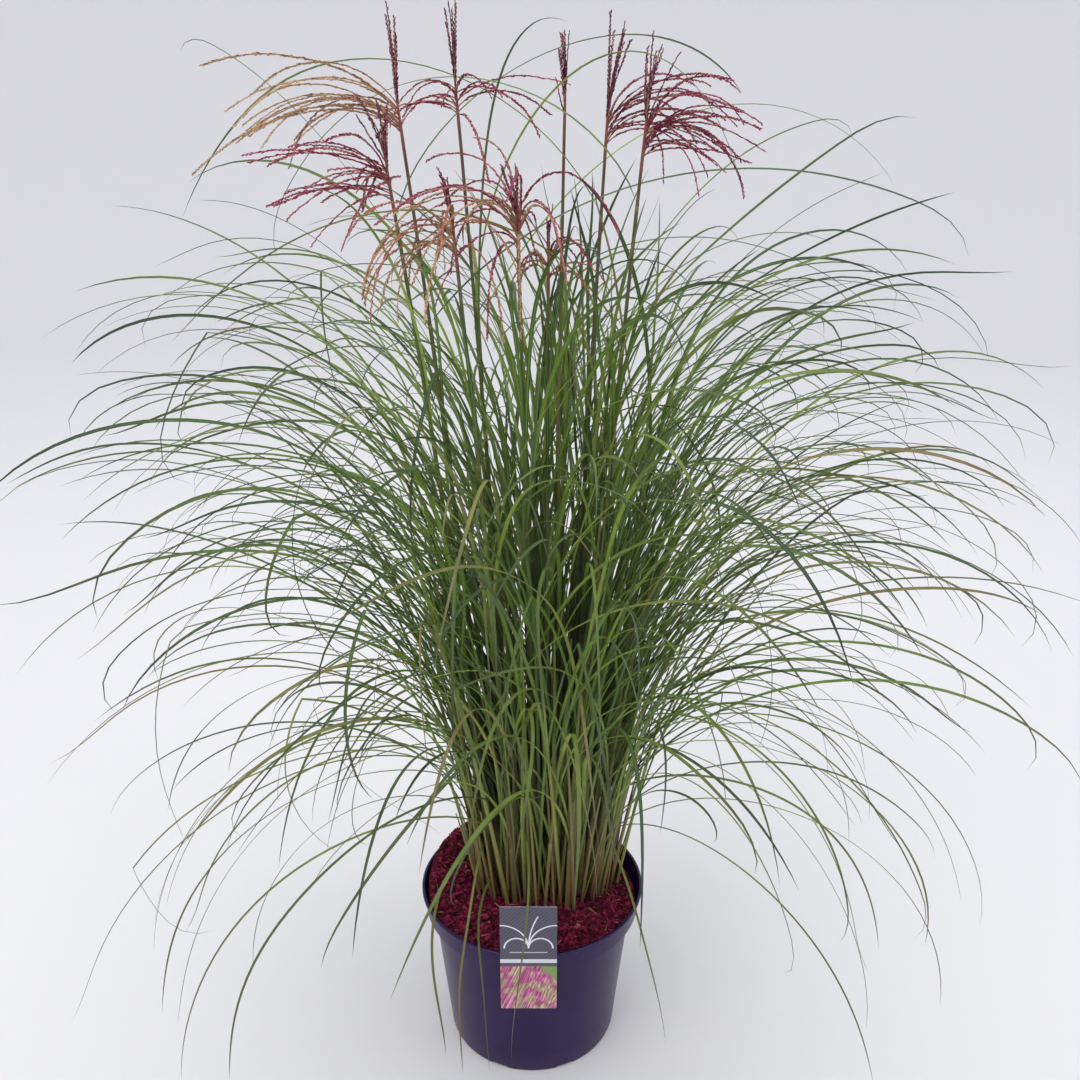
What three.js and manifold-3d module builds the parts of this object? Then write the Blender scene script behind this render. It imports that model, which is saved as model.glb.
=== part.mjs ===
// Potted silver grass: leafy stems and feathery plumes rising from a nursery pot of soil and bark mulch.
// Millimetres, +Z up, front towards -Y. The origin is the centre of the pot's underside.

import * as THREE from 'three';
import { mergeVertices } from 'three/addons/utils/BufferGeometryUtils.js';
import Module from 'manifold-3d';

// Pot
const POT_HEIGHT = 195;
const RIM_RADIUS = 130;
const LIP_HEIGHT = 4;
const LIP_WIDTH = 3.5;
const COLLAR_HEIGHT = 27;
const COLLAR_STEP = 9;
const SHOULDER = 2;
const BASE_RADIUS = 99.5;
const BODY_TOP_RADIUS = 116.5;
const WALL = 2.2;
const COLLAR_WALL = 1.7;
const COLLAR_FLARE = 2;
const FLOOR = 6;
const FOOT_CHAMFER = 2.5;
const POT_SIDES = 32;
const DRAIN_NOTCHES = 8;
const DRAIN_NOTCH = { wide: 20, deep: 9, high: 3.5 };

// Filling
const FIT_GAP = 0.4;
const REST_GAP = 0.3;
const SOIL_LEVEL = 150;
const CROWN_LEVEL = 179;
const CROWN_MARGIN = 7;
const CROWN_SIDES = 16;
const CROWN_SUNK = 4;
const CROWN_SPLAY = 0.12;
const MULCH_LEVEL = 182;
const MULCH_RINGS = [113, 99, 84, 67, 48, 26];
const CHIP_HEIGHT = 6;
const HEAP = { height: 14, left: 0.35, right: 0.5 };
const HOLE_GAP = 0.38;

// Label
const CARD = { wide: 61, high: 136, thick: 0.8, corner: 1.5, top: POT_HEIGHT + 66, x: -3 };
const TONGUE = { wide: 22, reach: 121, foot: 171 };

// Stems
const SEED = 20417;
const CLEARANCE = 0.7;
const CROWN = { x: 15, y: 21, wide: 84, deep: 63 };
const GOLDEN_TURN = 2.39996;
const SPOTS = 52;
const LEAFY_STEMS = 31;
const STEM_SPACING = 12.5;
const STEM_STRAY = [-3.5, 3.5];
const STEM_FOOT = 132;
const STEM_NECK = 232;
const STEM_SIDES = 4;
const STEM_RADII = [3.4, 3.3, 2.8, 2.2, 1.6];
const SPEAR_RADIUS = 0.9;
const GATHER = 0.42;
const STEM_TOP = [652, 824];
const STEM_TOP_FALL = 190;
const STEM_LEAN = [3, 8];
const STEM_TILT = [0, 1.5];
const STEM_TURN = [-0.4, 0.4];
const STRAIGHT_SHARE = 0.65;

// Leaves
const LEAF_ROUNDS = 6;
const LOWEST_LEAF = STEM_NECK + 12;
const HIGHEST_LEAF = 775;
const BARE_TOP = 12;
const CROWDING = 0.84;
const LEAF_STEPS = 5;
const SHORT_LEAF = 590;
const ARC_STEPS = 60;
const LEAF_WIDTHS = [0, 1, 0.97, 0.84, 0.55];
const LEAF_ROOT_WIDTH = 2;
const LEAF_DEPTHS = [1.0, 1.5, 1.4, 1.2, 0.9];
const LEAF_RADII = [0.5, 0.52, 0.5, 0.42, 0.3];
const LEAF_REACH = { x: 610, y: 500, shoulder: 500, top: 1100, floor: 18 };
const LEAF_TRIES = 160;
const LEAF = {
  side: [10, 150],
  lengths: { low: 508, high: 335, bulge: 185 },
  stretch: [0.8, 1.14],
  sideways: 0.2,
  lean: [5, 22],
  droop: [104, 146],
  power: [1.15, 2.4],
  low: { lean: 11, droop: 18, power: -0.15 },
  drift: [-35, 35],
  width: [3.3, 4.9],
};
const KINK = { share: 0.03, at: [0.5, 0.75], turn: [50, 90] };
const FLAG_LEAF = { share: 0.6, height: [790, 890], length: [420, 540], lean: [14, 32], droop: [95, 125] };
const KEEP_OFF = { rim: 10, above: 40, card: 34, slope: 0.9 };

// Plumes: where each starts, the side that it hangs to, how its racemes lean out and droop, and how far
// the closed ones at its tip fan out; angles in degrees
const RACHIS_LENGTH = 45;
const RACHIS_RADIUS = 1.6;
const RACHIS_END = 3;
const RACEME_RADIUS = 1.4;
const RACEME_TRIES = 80;
const RACEME_STEPS = 8;
const CLOSED_STEPS = 4;
const CLOSED_RACEMES = 2;
const RACEME_ROOT = 1.1;
const RACEME_WAIST = 1.5;
const RACEME_SPIKELET = 2.7;
const PLUME_OWNERS = 100;
const RACEME_DRIFT = [-25, 25];
const CLOSED = { turn: 110, stretch: [0.75, 1.1], lean: [0.1, 1], droop: [0.6, 1.6], power: [1.1, 1.3] };
const SPREAD = { stretch: [0.72, 1.1], lean: [-10, 10], droop: [0.85, 1.08], power: [0.45, 0.75] };
const PLUMES = [
  [-121, 35, 1016, 182, 45, 7, 205, 38, 118, 75, 7],
  [-70, 70, 1033, 250, 150, 4, 110, 42, 128, 62, 9],
  [34, 105, 1035, 90, 150, 1, 45, 8, 14, 54, 7],
  [72, 45, 1006, 5, 50, 6, 165, 38, 130, 78, 20],
  [102, -15, 995, 0, 60, 8, 122, 52, 130, 72, 24],
  [-123, -40, 961, 185, 85, 8, 125, 62, 118, 56, 38],
  [-10, -60, 920, 190, 150, 8, 165, 24, 150, 45, 28],
  [-63, -90, 914, 215, 110, 5, 140, 14, 170, 42, 16],
  [17, -40, 889, 20, 120, 3, 90, 12, 172, 30, 12],
].map(([x, y, z, side, spread, racemes, length, lean, droop, tip, fan]) => (
  { x, y, z, side, spread, racemes, length, lean, droop, tip, fan }));

const wasm = await Module();
wasm.setup();

// Finishes
const finish = (color, roughness) => new THREE.MeshStandardMaterial({ color, roughness, metalness: 0 });
const POT_PLASTIC = finish(0x2f2748, 0.35);
const SOIL = finish(0x2b1d17, 0.95);
const BARK = finish(0x5a1a26, 0.9);
const CARD_PRINT = finish(0x4b5058, 0.45);
const LEAF_GREEN = finish(0x4f7a2a, 0.5);
const PLUME_RED = finish(0x7b2d42, 0.7);

// Solids from three.js geometry and back
function solidOf(geometry) {
  const bare = geometry.clone();
  bare.deleteAttribute('normal');
  bare.deleteAttribute('uv');
  const merged = mergeVertices(bare, 1e-4);
  const vertProperties = new Float32Array(merged.attributes.position.array);
  const triVerts = new Uint32Array(merged.index.array);
  return new wasm.Manifold(new wasm.Mesh({ numProp: 3, vertProperties, triVerts }));
}

function geometryOf(solid) {
  const mesh = solid.getMesh();
  const geometry = new THREE.BufferGeometry();
  geometry.setAttribute('position', new THREE.BufferAttribute(new Float32Array(mesh.vertProperties), 3));
  geometry.setIndex(new THREE.BufferAttribute(new Uint32Array(mesh.triVerts), 1));
  geometry.computeVertexNormals();
  return geometry;
}

// Seeded numbers between low and high
function drawsFrom(seed) {
  let state = seed;
  return (low = 0, high = 1) => {
    state = (Math.imul(state, 1664525) + 1013904223) >>> 0;
    return low + (high - low) * state / 4294967296;
  };
}

const mix = (a, b, t) => a + (b - a) * t;
const radians = THREE.MathUtils.degToRad;
const direction = (lean, azimuth) => new THREE.Vector3(
  Math.sin(lean) * Math.cos(azimuth), Math.sin(lean) * Math.sin(azimuth), Math.cos(lean));

// A round wall turned about the Z axis from [radius, height] pairs
function turned(profile) {
  const points = profile.map(([radius, height]) => new THREE.Vector2(radius, height));
  return new THREE.LatheGeometry(points, POT_SIDES).rotateX(Math.PI / 2);
}

// The pot's inner wall: its radius at a height
const INNER_FOOT = BASE_RADIUS - WALL;
const INNER_TOP = BODY_TOP_RADIUS - WALL;
const BODY_TOP = POT_HEIGHT - COLLAR_HEIGHT - SHOULDER;
const COLLAR_BOTTOM = BODY_TOP + SHOULDER + 0.5;
const COLLAR_RADIUS = BODY_TOP_RADIUS + COLLAR_STEP;
const INNER_COLLAR = COLLAR_RADIUS - COLLAR_WALL;
const innerRadius = (height) => mix(INNER_FOOT, INNER_TOP, (height - FLOOR) / (BODY_TOP - FLOOR));

function pot() {
  const lip = POT_HEIGHT - LIP_HEIGHT;
  let solid = solidOf(turned([
    [0, 0],
    [BASE_RADIUS - FOOT_CHAMFER, 0],
    [BASE_RADIUS, FOOT_CHAMFER],
    [BODY_TOP_RADIUS, BODY_TOP],
    [COLLAR_RADIUS, COLLAR_BOTTOM],
    [COLLAR_RADIUS + COLLAR_FLARE, lip - 1],
    [RIM_RADIUS, lip],
    [RIM_RADIUS, POT_HEIGHT],
    [RIM_RADIUS - LIP_WIDTH, POT_HEIGHT],
    [INNER_COLLAR, COLLAR_BOTTOM + 1.5],
    [INNER_TOP, BODY_TOP],
    [INNER_FOOT, FLOOR],
    [0, FLOOR],
  ]));
  const { wide, deep, high } = DRAIN_NOTCH;
  for (let i = 0; i < DRAIN_NOTCHES; i += 1) {
    const notch = new THREE.BoxGeometry(wide, 2 * deep, 2 * high);
    notch.translate(0, BASE_RADIUS, 0);
    notch.rotateZ((i + 0.5) * 2 * Math.PI / DRAIN_NOTCHES);
    solid = solid.subtract(solidOf(notch));
  }
  return solid;
}

// A tube with level rings about a stem's line, between two of its points
function levelTube(points, radii) {
  const rows = points.length - 1;
  const geometry = new THREE.CylinderGeometry(1, 1, 1, STEM_SIDES, rows);
  const position = geometry.attributes.position;
  for (let i = 0; i < position.count; i += 1) {
    const row = Math.round((position.getY(i) + 0.5) * rows);
    const x = points[row].x + position.getX(i) * radii[row];
    const y = points[row].y - position.getZ(i) * radii[row];
    position.setXYZ(i, x, y, points[row].z);
  }
  return geometry;
}

// The plain hole that a stem stands in
function stemHole(line) {
  const along = line[1].clone().sub(line[0]).normalize();
  const bottom = line[0].clone().addScaledVector(along, -REST_GAP / along.z);
  const radius = STEM_RADII[0] + HOLE_GAP / Math.cos(Math.PI / STEM_SIDES);
  return solidOf(levelTube([bottom, line[1]], [radius, radius]));
}

// The crown's root ball, an oval mound that splays as it stands up through the bark
function crownMound(margin, bottom, top) {
  const splayed = 1 + CROWN_SPLAY * (top - bottom) / CROWN.wide;
  const mound = new THREE.CylinderGeometry(splayed, 1, top - bottom, CROWN_SIDES);
  mound.rotateX(Math.PI / 2);
  mound.scale(CROWN.wide + margin, CROWN.deep + margin, 1);
  return solidOf(mound.translate(CROWN.x, CROWN.y, (top + bottom) / 2));
}

// Potting soil that fills the pot, with the root ball on top and a plain hole for each stem
function soil(stems) {
  const foot = FLOOR + FIT_GAP;
  let solid = solidOf(turned([
    [0, foot],
    [innerRadius(foot) - FIT_GAP, foot],
    [innerRadius(SOIL_LEVEL) - FIT_GAP, SOIL_LEVEL],
    [0, SOIL_LEVEL],
  ])).add(crownMound(CROWN_MARGIN, SOIL_LEVEL - CROWN_SUNK, CROWN_LEVEL));
  for (const stem of stems) solid = solid.subtract(stemHole(stem.line));
  return solid;
}

// The bark's height over its level: chips, a heap at the back left and a dip at the back right
function barkRise(x, y, chip) {
  const left = Math.max(0, (y - x) / RIM_RADIUS - HEAP.left);
  const right = Math.max(0, (y + x) / RIM_RADIUS - HEAP.right);
  return CHIP_HEIGHT * chip + HEAP.height * (left - right);
}

function mulch(tongueSlot) {
  const foot = SOIL_LEVEL + FIT_GAP;
  const edge = INNER_COLLAR + 0.2;
  const geometry = turned([
    [0, foot],
    [innerRadius(foot) - FIT_GAP, foot],
    [INNER_TOP - FIT_GAP, BODY_TOP + FIT_GAP],
    [INNER_COLLAR - FIT_GAP, COLLAR_BOTTOM + 2],
    [edge, MULCH_LEVEL],
    ...MULCH_RINGS.map((radius) => [radius, MULCH_LEVEL]),
    [0, MULCH_LEVEL],
  ]);
  geometry.deleteAttribute('normal');
  geometry.deleteAttribute('uv');
  const merged = mergeVertices(geometry, 1e-3);
  const draw = drawsFrom(SEED);
  const position = merged.attributes.position;
  for (let i = 0; i < position.count; i += 1) {
    if (position.getZ(i) < MULCH_LEVEL - 0.01) continue;
    const x = position.getX(i);
    const y = position.getY(i);
    const inward = Math.hypot(x, y) > edge - 1 ? 0.3 : 1;
    position.setZ(i, MULCH_LEVEL + inward * barkRise(x, y, draw(-1, 1)));
  }
  const opening = crownMound(CROWN_MARGIN + FIT_GAP, SOIL_LEVEL - CROWN_SUNK, CARD.top);
  return solidOf(merged).subtract(opening).subtract(solidOf(tongueSlot));
}

// A flat card that hangs over the rim by a tongue pushed into the bark
function tongue(gap) {
  const top = POT_HEIGHT + REST_GAP + CARD.thick;
  const high = top - TONGUE.foot + gap;
  const down = new THREE.BoxGeometry(TONGUE.wide + 2 * gap, CARD.thick + 2 * gap, high);
  down.translate(CARD.x, -TONGUE.reach, top - high / 2);
  return down;
}

function label() {
  const { wide, high, thick, corner, x } = CARD;
  const face = -(RIM_RADIUS + FIT_GAP);
  const outline = new THREE.Shape();
  outline.moveTo(wide / 2 - corner, -high);
  outline.absarc(wide / 2 - corner, -high + corner, corner, -Math.PI / 2, 0);
  outline.absarc(wide / 2 - corner, -corner, corner, 0, Math.PI / 2);
  outline.absarc(-wide / 2 + corner, -corner, corner, Math.PI / 2, Math.PI);
  outline.absarc(-wide / 2 + corner, -high + corner, corner, Math.PI, 1.5 * Math.PI);
  const card = new THREE.ExtrudeGeometry(outline, { depth: thick, bevelEnabled: false, curveSegments: 2 });
  card.rotateX(Math.PI / 2).translate(x, face, CARD.top);
  const inner = -TONGUE.reach + thick / 2;
  const bridge = new THREE.BoxGeometry(TONGUE.wide, inner - face + thick / 2, thick);
  bridge.translate(x, (inner + face - thick / 2) / 2, POT_HEIGHT + REST_GAP + thick / 2);
  return solidOf(card).add(solidOf(bridge)).add(solidOf(tongue(0)));
}

// Points along a blade that leaves its start, leans out and then droops; angles in degrees from upright
function arcPoints(start, shape, stops) {
  const step = shape.length / ARC_STEPS;
  const path = [start.clone()];
  for (let i = 0; i < ARC_STEPS; i += 1) {
    const m = (i + 0.5) / ARC_STEPS;
    let lean = mix(shape.lean, shape.droop, m ** shape.power);
    if (m > shape.kinkAt) lean += shape.kink;
    const azimuth = shape.azimuth + shape.drift * m;
    path.push(path[i].clone().addScaledVector(direction(radians(lean), radians(azimuth)), step));
  }
  return stops.map((stop) => path[Math.round(stop * ARC_STEPS)]);
}

const evenStops = (steps) => Array.from({ length: steps + 1 }, (_, i) => i / steps);

// The gap between two stretches a-b and c-d
function stretchGap(a, b, c, d) {
  const u = b.clone().sub(a);
  const v = d.clone().sub(c);
  const w = a.clone().sub(c);
  const uu = u.dot(u);
  const vv = v.dot(v);
  const uv = u.dot(v);
  const uw = u.dot(w);
  const vw = v.dot(w);
  const spread = uu * vv - uv * uv;
  const clamp = THREE.MathUtils.clamp;
  let s = spread > 1e-9 ? clamp((uv * vw - uw * vv) / spread, 0, 1) : 0;
  let t = (uv * s + vw) / vv;
  if (t < 0) s = clamp(-uw / uu, 0, 1);
  if (t > 1) s = clamp((uv - uw) / uu, 0, 1);
  t = clamp(t, 0, 1);
  return w.addScaledVector(u, s).addScaledVector(v, -t).length();
}

// Everything that has grown so far, as stretches with a radius and an owner
const grown = [];

function settle(points, radii, owner) {
  for (let i = 0; i < points.length - 1; i += 1) {
    grown.push({ a: points[i], b: points[i + 1], radius: radii[i], owner });
  }
}

function isClear(points, radii, owner) {
  for (let i = 0; i < points.length - 1; i += 1) {
    for (const other of grown) {
      if (i === 0 && other.owner === owner) continue;
      const gap = stretchGap(points[i], points[i + 1], other.a, other.b);
      if (gap - radii[i] - other.radius < CLEARANCE) return false;
    }
  }
  return true;
}

// Leaves keep off the floor and the pot, leave the label in view, and stay inside the plant's own reach
function isInside(points) {
  for (let i = 0; i < points.length - 1; i += 1) {
    for (const along of [0, 0.25, 0.5, 0.75, 1]) {
      const { x, y, z } = points[i].clone().lerp(points[i + 1], along);
      if (z < LEAF_REACH.floor) return false;
      const rise = Math.max(0, (z - LEAF_REACH.shoulder) / (LEAF_REACH.top - LEAF_REACH.shoulder));
      if (Math.hypot(x / LEAF_REACH.x, (y - CROWN.y) / LEAF_REACH.y, rise) > 1) return false;
      if (z < POT_HEIGHT + KEEP_OFF.above && Math.hypot(x, y) < RIM_RADIUS + KEEP_OFF.rim) return false;
      const shade = CARD.top + KEEP_OFF.rim + KEEP_OFF.slope * (-y - RIM_RADIUS);
      if (Math.abs(x - CARD.x) < KEEP_OFF.card && y < -TONGUE.reach && z < shade) return false;
    }
  }
  return true;
}

// A stem's line: straight through the filling, then bending out towards its top
function stemLine(x, y, top) {
  const bend = (u) => mix(u * u, u, STRAIGHT_SHARE);
  const neck = (STEM_NECK - STEM_FOOT) / (top.z - STEM_FOOT);
  const shares = [0, neck, mix(neck, 1, 1 / 3), mix(neck, 1, 2 / 3), 1];
  return shares.map((u) => new THREE.Vector3(
    mix(x, top.x, bend(u)), mix(y, top.y, bend(u)), mix(STEM_FOOT, top.z, u)));
}

function pointAt(line, z) {
  const i = Math.max(1, line.findIndex((point) => point.z >= z));
  return line[i - 1].clone().lerp(line[i], (z - line[i - 1].z) / (line[i].z - line[i - 1].z));
}

// Flowering stems first, then leafy ones on a sunflower spiral about the crown, where they stand clear
function growStems(draw) {
  const stems = [];
  const add = (line, plume) => {
    settle(line, STEM_RADII, stems.length);
    stems.push({ line, plume, leaves: [] });
  };
  for (const plume of PLUMES) {
    const x = mix(CROWN.x, plume.x, GATHER);
    const y = mix(CROWN.y, plume.y, GATHER);
    add(stemLine(x, y, new THREE.Vector3(plume.x, plume.y, plume.z)), plume);
  }
  for (let i = 0; i < SPOTS && stems.length < PLUMES.length + LEAFY_STEMS; i += 1) {
    const out = Math.sqrt((i + 0.5) / SPOTS);
    const turn = i * GOLDEN_TURN;
    const x = CROWN.x + CROWN.wide * out * Math.cos(turn) + draw(...STEM_STRAY);
    const y = CROWN.y + CROWN.deep * out * Math.sin(turn) + draw(...STEM_STRAY);
    if (stems.some(({ line }) => Math.hypot(line[0].x - x, line[0].y - y) < STEM_SPACING)) continue;
    const z = draw(...STEM_TOP) - STEM_TOP_FALL * out;
    const lean = draw(...STEM_LEAN) * out + draw(...STEM_TILT);
    const reach = Math.tan(radians(lean)) * (z - STEM_FOOT);
    const way = Math.atan2(y - CROWN.y, x - CROWN.x) + draw(...STEM_TURN);
    const line = stemLine(x, y, new THREE.Vector3(x + reach * Math.cos(way), y + reach * Math.sin(way), z));
    if (isClear(line, STEM_RADII, stems.length)) add(line, null);
  }
  return stems;
}

// One leaf's draw: low leaves hang over the pot, middle ones reach out, top ones stand up
function drawLeaf(draw, stem, round) {
  const span = Math.min(stem.line[4].z - BARE_TOP, HIGHEST_LEAF) - LOWEST_LEAF;
  let height = LOWEST_LEAF + span * ((round + draw(0.1, 0.9)) / LEAF_ROUNDS) ** CROWDING;
  const high = (height - LOWEST_LEAF) / (HIGHEST_LEAF - LOWEST_LEAF);
  const root = pointAt(stem.line, height);
  const outward = THREE.MathUtils.radToDeg(Math.atan2(root.y - CROWN.y, root.x - CROWN.x));
  const azimuth = outward + draw(-1, 1) * draw(...LEAF.side);
  const sideways = 1 - LEAF.sideways * Math.abs(Math.sin(radians(azimuth)));
  const bulge = LEAF.lengths.bulge * Math.sin(Math.PI * (0.1 + 0.9 * high));
  const leaf = {
    azimuth,
    length: (mix(LEAF.lengths.low, LEAF.lengths.high, high) + bulge) * draw(...LEAF.stretch) * sideways,
    lean: draw(...LEAF.lean) + LEAF.low.lean * (1 - high) ** 1.5,
    droop: draw(...LEAF.droop) + LEAF.low.droop * (1 - high),
    power: draw(...LEAF.power) + LEAF.low.power * (1 - high) ** 2,
    drift: draw(...LEAF.drift),
    width: draw(...LEAF.width),
    kinkAt: 1,
    kink: 0,
  };
  if (draw() < KINK.share) {
    leaf.kinkAt = draw(...KINK.at);
    leaf.kink = draw(...KINK.turn);
  }
  if (stem.plume && round === LEAF_ROUNDS - 1 && draw() < FLAG_LEAF.share) {
    height = draw(...FLAG_LEAF.height);
    leaf.length = draw(...FLAG_LEAF.length);
    leaf.lean = draw(...FLAG_LEAF.lean);
    leaf.droop = draw(...FLAG_LEAF.droop);
  }
  leaf.start = pointAt(stem.line, height);
  return leaf;
}

// Each leaf is drawn again until it lies clear of everything that has grown
function growLeaves(draw, stems) {
  for (let round = 0; round < LEAF_ROUNDS; round += 1) {
    stems.forEach((stem, owner) => {
      for (let attempt = 0; attempt < LEAF_TRIES; attempt += 1) {
        const leaf = drawLeaf(draw, stem, round);
        const steps = leaf.length < SHORT_LEAF ? LEAF_STEPS - 1 : LEAF_STEPS;
        const stops = evenStops(steps).map((stop) => stop ** (1 / Math.max(1, 0.8 * leaf.power)));
        leaf.points = arcPoints(leaf.start, leaf, stops);
        const radii = LEAF_RADII.slice(0, steps).map((share) => share * leaf.width);
        if (!isInside(leaf.points) || !isClear(leaf.points, radii, owner)) continue;
        settle(leaf.points, radii, owner);
        stem.leaves.push(leaf);
        break;
      }
    });
  }
}

// A plume's racemes: the last two stand closed at its tip, the others spread and hang to its side
function growPlumes(draw, stems) {
  stems.filter((stem) => stem.plume).forEach((stem, index) => {
    const { plume, line } = stem;
    const owner = PLUME_OWNERS + index;
    const along = line[4].clone().sub(line[3]).normalize();
    const base = line[4];
    stem.rachis = [base.clone(), base.clone().addScaledVector(along, RACHIS_LENGTH)];
    settle(stem.rachis, [RACHIS_RADIUS], owner);
    stem.racemes = [];
    const count = plume.racemes + CLOSED_RACEMES;
    for (let i = 0; i < count; i += 1) {
      const closed = i >= plume.racemes;
      for (let attempt = 0; attempt < RACEME_TRIES; attempt += 1) {
        const up = RACHIS_END + (RACHIS_LENGTH - 2 * RACHIS_END) * (i + draw(0.2, 0.8)) / count;
        const kind = closed ? CLOSED : SPREAD;
        const turn = closed ? CLOSED.turn : plume.spread;
        const raceme = {
          start: base.clone().addScaledVector(along, up),
          azimuth: plume.side + draw(-turn, turn),
          length: (closed ? plume.tip : plume.length) * draw(...kind.stretch),
          lean: closed ? draw(...kind.lean) * plume.fan : draw(...kind.lean) + plume.lean,
          droop: draw(...kind.droop) * (closed ? plume.fan : plume.droop),
          power: draw(...kind.power),
          drift: draw(...RACEME_DRIFT),
          kinkAt: 1,
          kink: 0,
        };
        const steps = closed ? CLOSED_STEPS : RACEME_STEPS;
        raceme.points = arcPoints(raceme.start, raceme, evenStops(steps));
        const radii = raceme.points.map(() => RACEME_RADIUS);
        if (!isClear(raceme.points, radii, owner)) continue;
        settle(raceme.points, radii, owner);
        stem.racemes.push(raceme);
        break;
      }
    }
  });
}

// A three-sided blade along points: two edges and a keel underneath, ending in a point
function bladeGeometry(points, widths, depths, shape) {
  const rows = points.length - 1;
  const geometry = new THREE.ConeGeometry(1, 1, 3, rows);
  const position = geometry.attributes.position;
  const edge = Math.sin(2 * Math.PI / 3);
  const rings = points.map((point, i) => {
    const along = points[Math.min(i + 1, rows)].clone().sub(points[Math.max(i - 1, 0)]).normalize();
    const azimuth = radians(shape.azimuth + shape.drift * i / rows);
    const across = new THREE.Vector3(-Math.sin(azimuth), Math.cos(azimuth), 0);
    const under = across.clone().cross(along).normalize();
    return { point, under, across: along.clone().cross(under) };
  });
  for (let i = 0; i < position.count; i += 1) {
    const row = Math.round((position.getY(i) + 0.5) * rows);
    const { point, across, under } = rings[row];
    const size = 1 - row / rows;
    if (row === rows) {
      position.setXYZ(i, point.x, point.y, point.z);
      continue;
    }
    const x = position.getX(i) / size / edge * widths[row] / 2;
    const z = (position.getZ(i) / size - 0.05) * depths[row] / 1.5;
    const place = point.clone().addScaledVector(across, x).addScaledVector(under, z);
    position.setXYZ(i, place.x, place.y, place.z);
  }
  return geometry;
}

function stemSolid(stem) {
  const tipRadius = stem.plume ? STEM_RADII[4] : SPEAR_RADIUS;
  let solid = solidOf(levelTube(stem.line, [...STEM_RADII.slice(0, 4), tipRadius]));
  for (const leaf of stem.leaves) {
    const widths = LEAF_WIDTHS.map((share, i) => (i === 0 ? LEAF_ROOT_WIDTH : share * leaf.width));
    solid = solid.add(solidOf(bladeGeometry(leaf.points, widths, LEAF_DEPTHS, leaf)));
  }
  return solid;
}

function plumeSolid(stem) {
  const [base, end] = stem.rachis;
  const seat = base.clone().lerp(end, REST_GAP / RACHIS_LENGTH);
  let solid = solidOf(levelTube([seat, end], [STEM_RADII[4], RACHIS_RADIUS]));
  for (const raceme of stem.racemes) {
    const sizes = raceme.points.map((_, i) => (i % 2 ? RACEME_SPIKELET : RACEME_WAIST));
    sizes[0] = RACEME_ROOT;
    solid = solid.add(solidOf(bladeGeometry(raceme.points, sizes, sizes, raceme)));
  }
  return solid;
}

// Assembly
const plant = new THREE.Group();

function place(name, solid, material) {
  const mesh = new THREE.Mesh(geometryOf(solid), material);
  mesh.name = name;
  plant.add(mesh);
}

const draw = drawsFrom(SEED);
const stems = growStems(draw);
growPlumes(draw, stems);
growLeaves(draw, stems);

place('pot', pot(), POT_PLASTIC);
place('potting_soil', soil(stems), SOIL);
place('bark_mulch', mulch(tongue(FIT_GAP)), BARK);
place('plant_label', label(), CARD_PRINT);
stems.forEach((stem, i) => {
  const number = String(i + 1).padStart(2, '0');
  place(`${stem.plume ? 'flowering' : 'leafy'}_stem_${number}`, stemSolid(stem), LEAF_GREEN);
  if (stem.plume) place(`plume_${number}`, plumeSolid(stem), PLUME_RED);
});

export default plant;
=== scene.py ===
# Potted silver grass: fine leaves, culms, plumes, bark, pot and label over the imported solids.
# Metres, +Z up, front towards -Y. The growth rule works in millimetres, which MM turns into metres.

import math
from types import SimpleNamespace as Values

import bmesh
import bpy
import numpy as np
from mathutils import Matrix, Vector


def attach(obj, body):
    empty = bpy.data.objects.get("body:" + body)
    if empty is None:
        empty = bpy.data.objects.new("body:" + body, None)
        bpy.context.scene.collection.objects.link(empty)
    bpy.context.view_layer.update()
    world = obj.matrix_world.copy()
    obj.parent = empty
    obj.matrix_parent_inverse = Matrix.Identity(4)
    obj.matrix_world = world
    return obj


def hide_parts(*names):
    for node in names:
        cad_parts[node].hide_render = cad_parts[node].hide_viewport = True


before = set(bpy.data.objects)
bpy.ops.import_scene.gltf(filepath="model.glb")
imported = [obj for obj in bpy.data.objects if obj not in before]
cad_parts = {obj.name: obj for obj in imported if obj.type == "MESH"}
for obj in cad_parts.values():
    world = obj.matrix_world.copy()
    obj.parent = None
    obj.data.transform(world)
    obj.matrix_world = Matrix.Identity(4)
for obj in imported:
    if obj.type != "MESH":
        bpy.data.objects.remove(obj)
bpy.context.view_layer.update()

MM = 0.001
FULL_TURN = 2 * math.pi

# Pot and filling, in metres
POT_HEIGHT = 0.195
RIM_RADIUS = 0.130
LIP_HEIGHT = 0.004
LIP_WIDTH = 0.0035
LIP_EDGE = 0.0008
BASE_RADIUS = 0.0995
BASE_RING = 0.02
BODY_TOP = 0.166
BODY_TOP_RADIUS = 0.1165
BODY_RINGS = (0.006, 0.02, 0.06, 0.11)
COLLAR_BOTTOM = 0.1685
COLLAR_RADIUS = 0.1255
COLLAR_FLARE = 0.002
WALL = 0.0022
COLLAR_WALL = 0.0017
FLOOR_THICKNESS = 0.006
FOOT_ROUND = 0.0025
POT_STEPS = 128
DRAIN_NOTCHES = 8
DRAIN_NOTCH = (0.020, 0.018, 0.007)

# Bark, in metres
BARK_LEVEL = 0.182
BARK_RADIUS = 0.1225
BARK_FOOT = 0.168
BARK_SEED = 71
BED = Values(rings=28, sides=96, sunk=0.001, skirt=0.002, ripple=0.0014, tint=0.2)
HEAP = Values(height=0.014, left=0.35, right=0.5, loose=0.016)
FLAKES = Values(batches=60, in_batch=110, lift=(-0.0015, 0.0035), tilt=(-0.5, 0.5),
                roll=(-0.8, 0.8), taper=(0.35, 0.8), shreds=0.45, straws=0.05)
FLAKE = Values(long=0.0048, least=0.0008, wide=(0.35, 0.75), thick=(0.25, 0.5))
SHRED = Values(long=(0.003, 0.008), wide=(0.0004, 0.0009))
STRAW_TINT = 1
REDDEST = 0.965

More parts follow.
